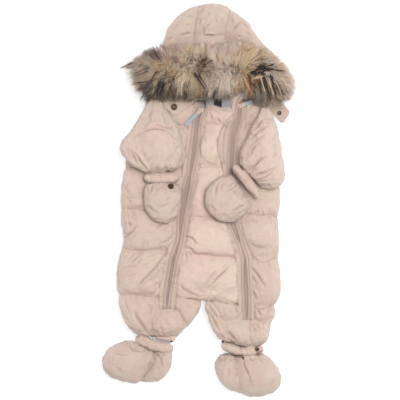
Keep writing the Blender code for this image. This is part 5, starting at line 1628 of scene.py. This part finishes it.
def zip_facing(side, place, line, end):
    """The folded cloth beside a zip: a closed band with a rounded fold at the tape, a stitched valley and a flat
    second fold that rises into the panel beside it, and sinks below the cloth past the zip's end. Its folds
    waver with the place along the zip. The flap's second fold is wider, has a valley of its own and rises to
    rest on the chest panel."""
    seed = {"left": 40, "right": 60}[side] + (5 if place == "inner" else 0)
    spots, heading = facing_line(side, place, line, end)
    sign = 1.0 if (place == "inner") == (side == "right") else -1.0
    across = -sign * leftward(heading)
    y = spots[:, 1]
    along = np.arange(len(y)) * FACING_STEP
    edge = looked_up(FACING_EDGE[side, place], y) + 0.3 * ripple(along, 14, seed)
    extra, rest = np.zeros(len(y)), np.zeros(len(y))
    if (side, place) == ("right", "inner"):
        extra = looked_up(FLAP, y)
    free = np.clip(extra / 4, 0, 1)
    flap_valley = np.clip(extra / 10, 0, 1)
    share, lift, crease = np.array(FACING_FORM).T
    wide = FACING_WIDTH - 1.8 * free
    offset = (edge[:, None] + share * (wide - edge)[:, None]
              + np.clip((share - 0.48) / 0.52, 0, 1) * extra[:, None])
    wide = wide + extra
    if extra.any():
        rest = flap_rest(spots + across * (wide + 1.0)[:, None], free)
    height = (lift + free[:, None] * (np.minimum(lift, 37.2) - lift)
              + rest[:, None] * np.interp(share, [0.1, 0.5, 0.9, 1.0], [0.0, 0.75, 1.1, 0.95]))
    height -= flap_valley[:, None] * 1.3 * bell(share - 0.74, 0.07)
    height += np.interp(y, [186, 206], [0.0, 4.6])[:, None] * np.sin(math.pi * np.clip(share, 0.15, 0.9))
    sway = ripple(along, 9, seed + 1)[:, None] * 0.35 + ripple(along, 23, seed + 2)[:, None] * 0.45
    pucker = np.abs(ripple(along + 70, 9, seed + 3))[:, None]
    rim = np.clip((share - 0.5) / 0.3, 0, 1)
    height += sway * np.sin(math.pi * share) + (pucker * 2 - 0.9) * 0.6 * rim * (1 - 0.6 * free)[:, None]
    skirt = np.stack([wide + 2.6 - 2.0 * free, wide + 1.8 - 2.4 * free, 0.5 * (wide + edge), edge + 1.0], axis=1)
    low = np.stack([37.0 + rest - 1.2 * free, 31.0 + rest * 0.9, 31.0 + rest * 0.5, np.full(len(y), 34.3)], axis=1)
    level = np.concatenate([height, low], axis=1)
    sink = np.interp(y, [end - 7, end + 2], [5.5, 0.0])[:, None]
    level -= sink * np.concatenate([np.ones(len(share)), [1, 0, 0, 0]])
    flat = spots[:, None, :] + across[:, None, :] * np.concatenate([offset, skirt], axis=1)[..., None]
    rings = np.concatenate([flat, level[..., None]], axis=-1) * MM
    band = closed_tube(f"zip_{side}_{place}_band", rings, facing_finish())
    every = np.ones((len(y), 1))
    # Painted shade at the tape, in the stitched valley, at the outer edge, in the flap's valley and between
    # puckers.
    folded = np.concatenate([crease, [0.6] * 4]) * every
    folded[:, 10] += 0.5 * flap_valley
    folded *= 0.8 + 0.2 * ripple(along, 17, seed + 4)[:, None]
    folded[:, :len(share)] += 0.5 * np.clip(1 - pucker * 5, 0, 1) * rim
    add_attribute(band.data, "fold", np.clip(folded, 0, 1).ravel())
    # Where rim is 1, the outer part that rises into the panel takes the shell's colour.
    add_attribute(band.data, "rim", (np.concatenate([rim, [1.0] * 4]) * every).ravel())
    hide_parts(f"zip_{side}_facing_{place}")
    seam = (spots + across * (edge + FACING_VALLEY * (FACING_WIDTH - edge))[:, None])[4:-6]
    return band, stitch_row(f"zip_{side}_{place}_stitches", seam, surface_below(band))


def carried(spots, across, profile):
    """A profile of sideways and upward offsets carried along a plan line: each ring is the line's point plus the
    sideways offset times the line's left-hand normal, at the profile's height."""
    side, level = np.array(profile).T
    flat = spots[:, None, :] + across[:, None, :] * side[None, :, None]
    return np.concatenate([flat, np.tile(level, (len(spots), 1))[..., None]], axis=-1) * MM


class SNOWSUIT_OT_pulls(bpy.types.Operator):
    """Sliders, pull frames and reflective grips"""

    bl_idname = "snowsuit.pulls"
    bl_label = "Zip pulls"

    def execute(self, context):
        for side in ("left", "right"):
            finish_node(f"slider_{side}", enamel_finish())
            finish_node(f"pull_{side}_frame", enamel_finish())
            finish_node(f"pull_{side}_grip", reflective_finish())
        return {"FINISHED"}


class SNOWSUIT_OT_studs(bpy.types.Operator):
    """Press studs"""

    bl_idname = "snowsuit.studs"
    bl_label = "Press studs"

    def execute(self, context):
        for node in frame["nodes"]:
            if node.startswith("snap_"):
                finish_node(node, bronze_finish())
        soft = [obj for obj in bpy.data.objects if obj.name.endswith("_soft")]
        spots, normals = surface_below(*soft)(np.array([(-54, 56.5), (-57, -282), (46, -282)]) * MM)
        points, faces = bead(0.0026, 0.0026, 0.0011, sides=12, stops=6)
        repeated("studs_in_folds", points, faces, spots - normals * 0.0003,
                 frames_along(np.cross(normals, [0.0, 1.0, 0.2]), normals), bronze_finish())
        return {"FINISHED"}


def thin_sheet(name, top, thickness, finish):
    """A closed sheet from a grid of points in metres, rows by columns by xyz: the same grid again a thickness
    lower, joined round the rim."""
    rows, columns = top.shape[:2]
    under = top - [0, 0, thickness]
    order = np.arange(rows * columns).reshape(rows, columns)
    low = order + rows * columns
    faces = np.stack([order[:-1, :-1], order[:-1, 1:], order[1:, 1:], order[1:, :-1]], axis=-1).reshape(-1, 4)
    flipped = np.stack([low[:-1, :-1], low[1:, :-1], low[1:, 1:], low[:-1, 1:]], axis=-1).reshape(-1, 4)
    rim = np.concatenate([order[0, :], order[1:, -1], order[-1, -2::-1], order[-2:0:-1, 0]])
    after = np.roll(rim, -1)
    sides = np.stack([rim, rim + rows * columns, after + rows * columns, after], axis=-1)
    return solid(name, np.stack([top, under]), np.concatenate([faces, flipped, sides]).tolist(), finish)


def neck_lining():
    """The lining inside the back of the neck: a thin sheet that rises as the square of the way back, with low
    pleats across; and the bare woven label, a flat sheet with one turned edge, that lies on it."""
    lining = cloth_finish("grey_lining", (0.30, 0.285, 0.295), (0.38, 0.36, 0.37), roughness=0.55, crinkle=0.8,
                          depth=0.0012)
    x, y = np.meshgrid(np.linspace(12, 76, 54), np.linspace(180, 214, 30))
    rise = (y - 180) / 34
    z = 33.5 + 9 * rise**2 + 0.7 * np.sin(x * 0.42 + 2 * rise) * rise + 0.5 * np.sin(x * 0.19 + 1)
    cloth = thin_sheet("neck_lining_cloth", np.stack([x, y, z], axis=-1) * MM, 0.0012, lining)
    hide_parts("neck_lining")
    woven = cloth_finish("woven_label", (0.010, 0.011, 0.016), (0.022, 0.024, 0.032), roughness=0.75, weave=0.9,
                         threads=1400.0, crinkle=0.2, depth=0.0003)
    x, y = np.meshgrid(np.linspace(28, 44, 20), np.linspace(184, 203, 22))
    rise = (y - 180) / 34
    z = 34.4 + 9 * rise**2 + 0.5 * np.sin(x * 0.19 + 1) + 0.4 * (x > 43) + 0.3 * np.sin(y * 0.5)
    label = thin_sheet("neck_label_cloth", np.stack([x, y, z], axis=-1) * MM, 0.0007, woven)
    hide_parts("neck_label")


class SNOWSUIT_OT_trims(bpy.types.Operator):
    """Pocket welt, neck lining and bare label"""

    bl_idname = "snowsuit.trims"
    bl_label = "Pocket and neck"

    def execute(self, context):
        welt = laid_roll("pocket_welt_cloth", [(-147, 6), (-148, -18), (-145, -42), (-140, -66)], 3.4, 1.8,
                         surface_below(bpy.data.objects["front_left_soft"]), shell_finish())
        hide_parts("pocket_welt_left")
        neck_lining()
        return {"FINISHED"}


class SNOWSUIT_OT_fur(bpy.types.Operator):
    """Fur trim along the edge of the hood"""

    bl_idname = "snowsuit.fur"
    bl_label = "Fur trim"

    def execute(self, context):
        fur_core()
        for number, place in enumerate(("left", "centre", "right")):
            fur_part(f"fur_{place}", number, 3, settings().fur.seed + number)
        return {"FINISHED"}


class SNOWSUIT_OT_stage(bpy.types.Operator):
    """Floor, lights and camera"""

    bl_idname = "snowsuit.stage"
    bl_label = "Stage"

    def execute(self, context):
        stage = settings().stage
        mesh = bpy.data.meshes.new("floor")
        corners = [(x * FLOOR_REACH, y * FLOOR_REACH, FLOOR_LEVEL) for x, y in ((-1, -1), (1, -1), (1, 1), (-1, 1))]
        mesh.from_pydata(corners, [], [(0, 1, 2, 3)])
        floor = added("floor", mesh)
        finish = cloth_finish("pale_floor", tuple(stage.floor), toned(stage.floor, 0.995), roughness=0.9, weave=0.0,
                              crinkle=0.1, sheen=0.0, specular=0.1)
        Tree(finish.node_tree).feed(finish.node_tree.nodes["Principled BSDF"],
                                    {"Emission Color": (1, 1, 1, 1), "Emission Strength": stage.glow})
        mesh.materials.append(finish)
        world = bpy.data.worlds.new("studio")
        world.use_nodes = True
        Tree(world.node_tree).feed(world.node_tree.nodes["Background"],
                                   {"Color": (1, 1, 1, 1), "Strength": stage.ambient})
        context.scene.world = world
        soft_light("key", (0.55, 0.42, 2.4), 1.0, stage.key)
        soft_light("fill", (-1.8, -0.6, 1.8), 2.0, stage.fill)
        camera = bpy.data.cameras.new("camera")
        camera.sensor_width = 36
        camera.lens = stage.lens
        seen_from = added("camera", camera)
        seen_from.location = (0.0004, 0.001, stage.height)
        context.scene.camera = seen_from
        context.scene.view_settings.view_transform = "Standard"
        return {"FINISHED"}


def soft_light(name, place, size, power):
    light = bpy.data.lights.new(name, "AREA")
    light.size = size
    light.energy = power
    obj = added(name, light)
    obj.location = place
    obj.rotation_euler = (-Vector(place)).to_track_quat("-Z", "Y").to_euler()


OPERATORS = (SNOWSUIT_OT_stage, SNOWSUIT_OT_body, SNOWSUIT_OT_hood, SNOWSUIT_OT_sleeves, SNOWSUIT_OT_mittens,
             SNOWSUIT_OT_booties, SNOWSUIT_OT_zips, SNOWSUIT_OT_pulls, SNOWSUIT_OT_studs, SNOWSUIT_OT_trims,
             SNOWSUIT_OT_fur)


class SNOWSUIT_PT_panel(bpy.types.Panel):
    """Lists the pieces and their settings"""

    bl_idname = "SNOWSUIT_PT_panel"
    bl_label = "Snowsuit"
    bl_space_type = "VIEW_3D"
    bl_region_type = "UI"
    bl_category = "Snowsuit"

    def draw(self, context):
        for operator in OPERATORS:
            self.layout.operator(operator.bl_idname)
        for group in ("cloth", "fur", "zips", "stage"):
            box = self.layout.box()
            box.label(text=group)
            values = getattr(context.scene.snowsuit, group)
            for name in values.bl_rna.properties.keys():
                if name not in ("rna_type", "name"):
                    box.prop(values, name)


CLASSES = (SnowsuitCloth, SnowsuitFur, SnowsuitZip, SnowsuitStage, SnowsuitSettings, *OPERATORS,
           SNOWSUIT_PT_panel)


def register():
    for made in CLASSES:
        bpy.utils.register_class(made)
    bpy.types.Scene.snowsuit = PointerProperty(type=SnowsuitSettings)


def unregister():
    del bpy.types.Scene.snowsuit
    for made in reversed(CLASSES):
        bpy.utils.unregister_class(made)


def main():
    """Builds every piece in order."""
    register()
    for operator in OPERATORS:
        group, name = operator.bl_idname.split(".")
        getattr(getattr(bpy.ops, group), name)()


if __name__ == "__main__":
    main()
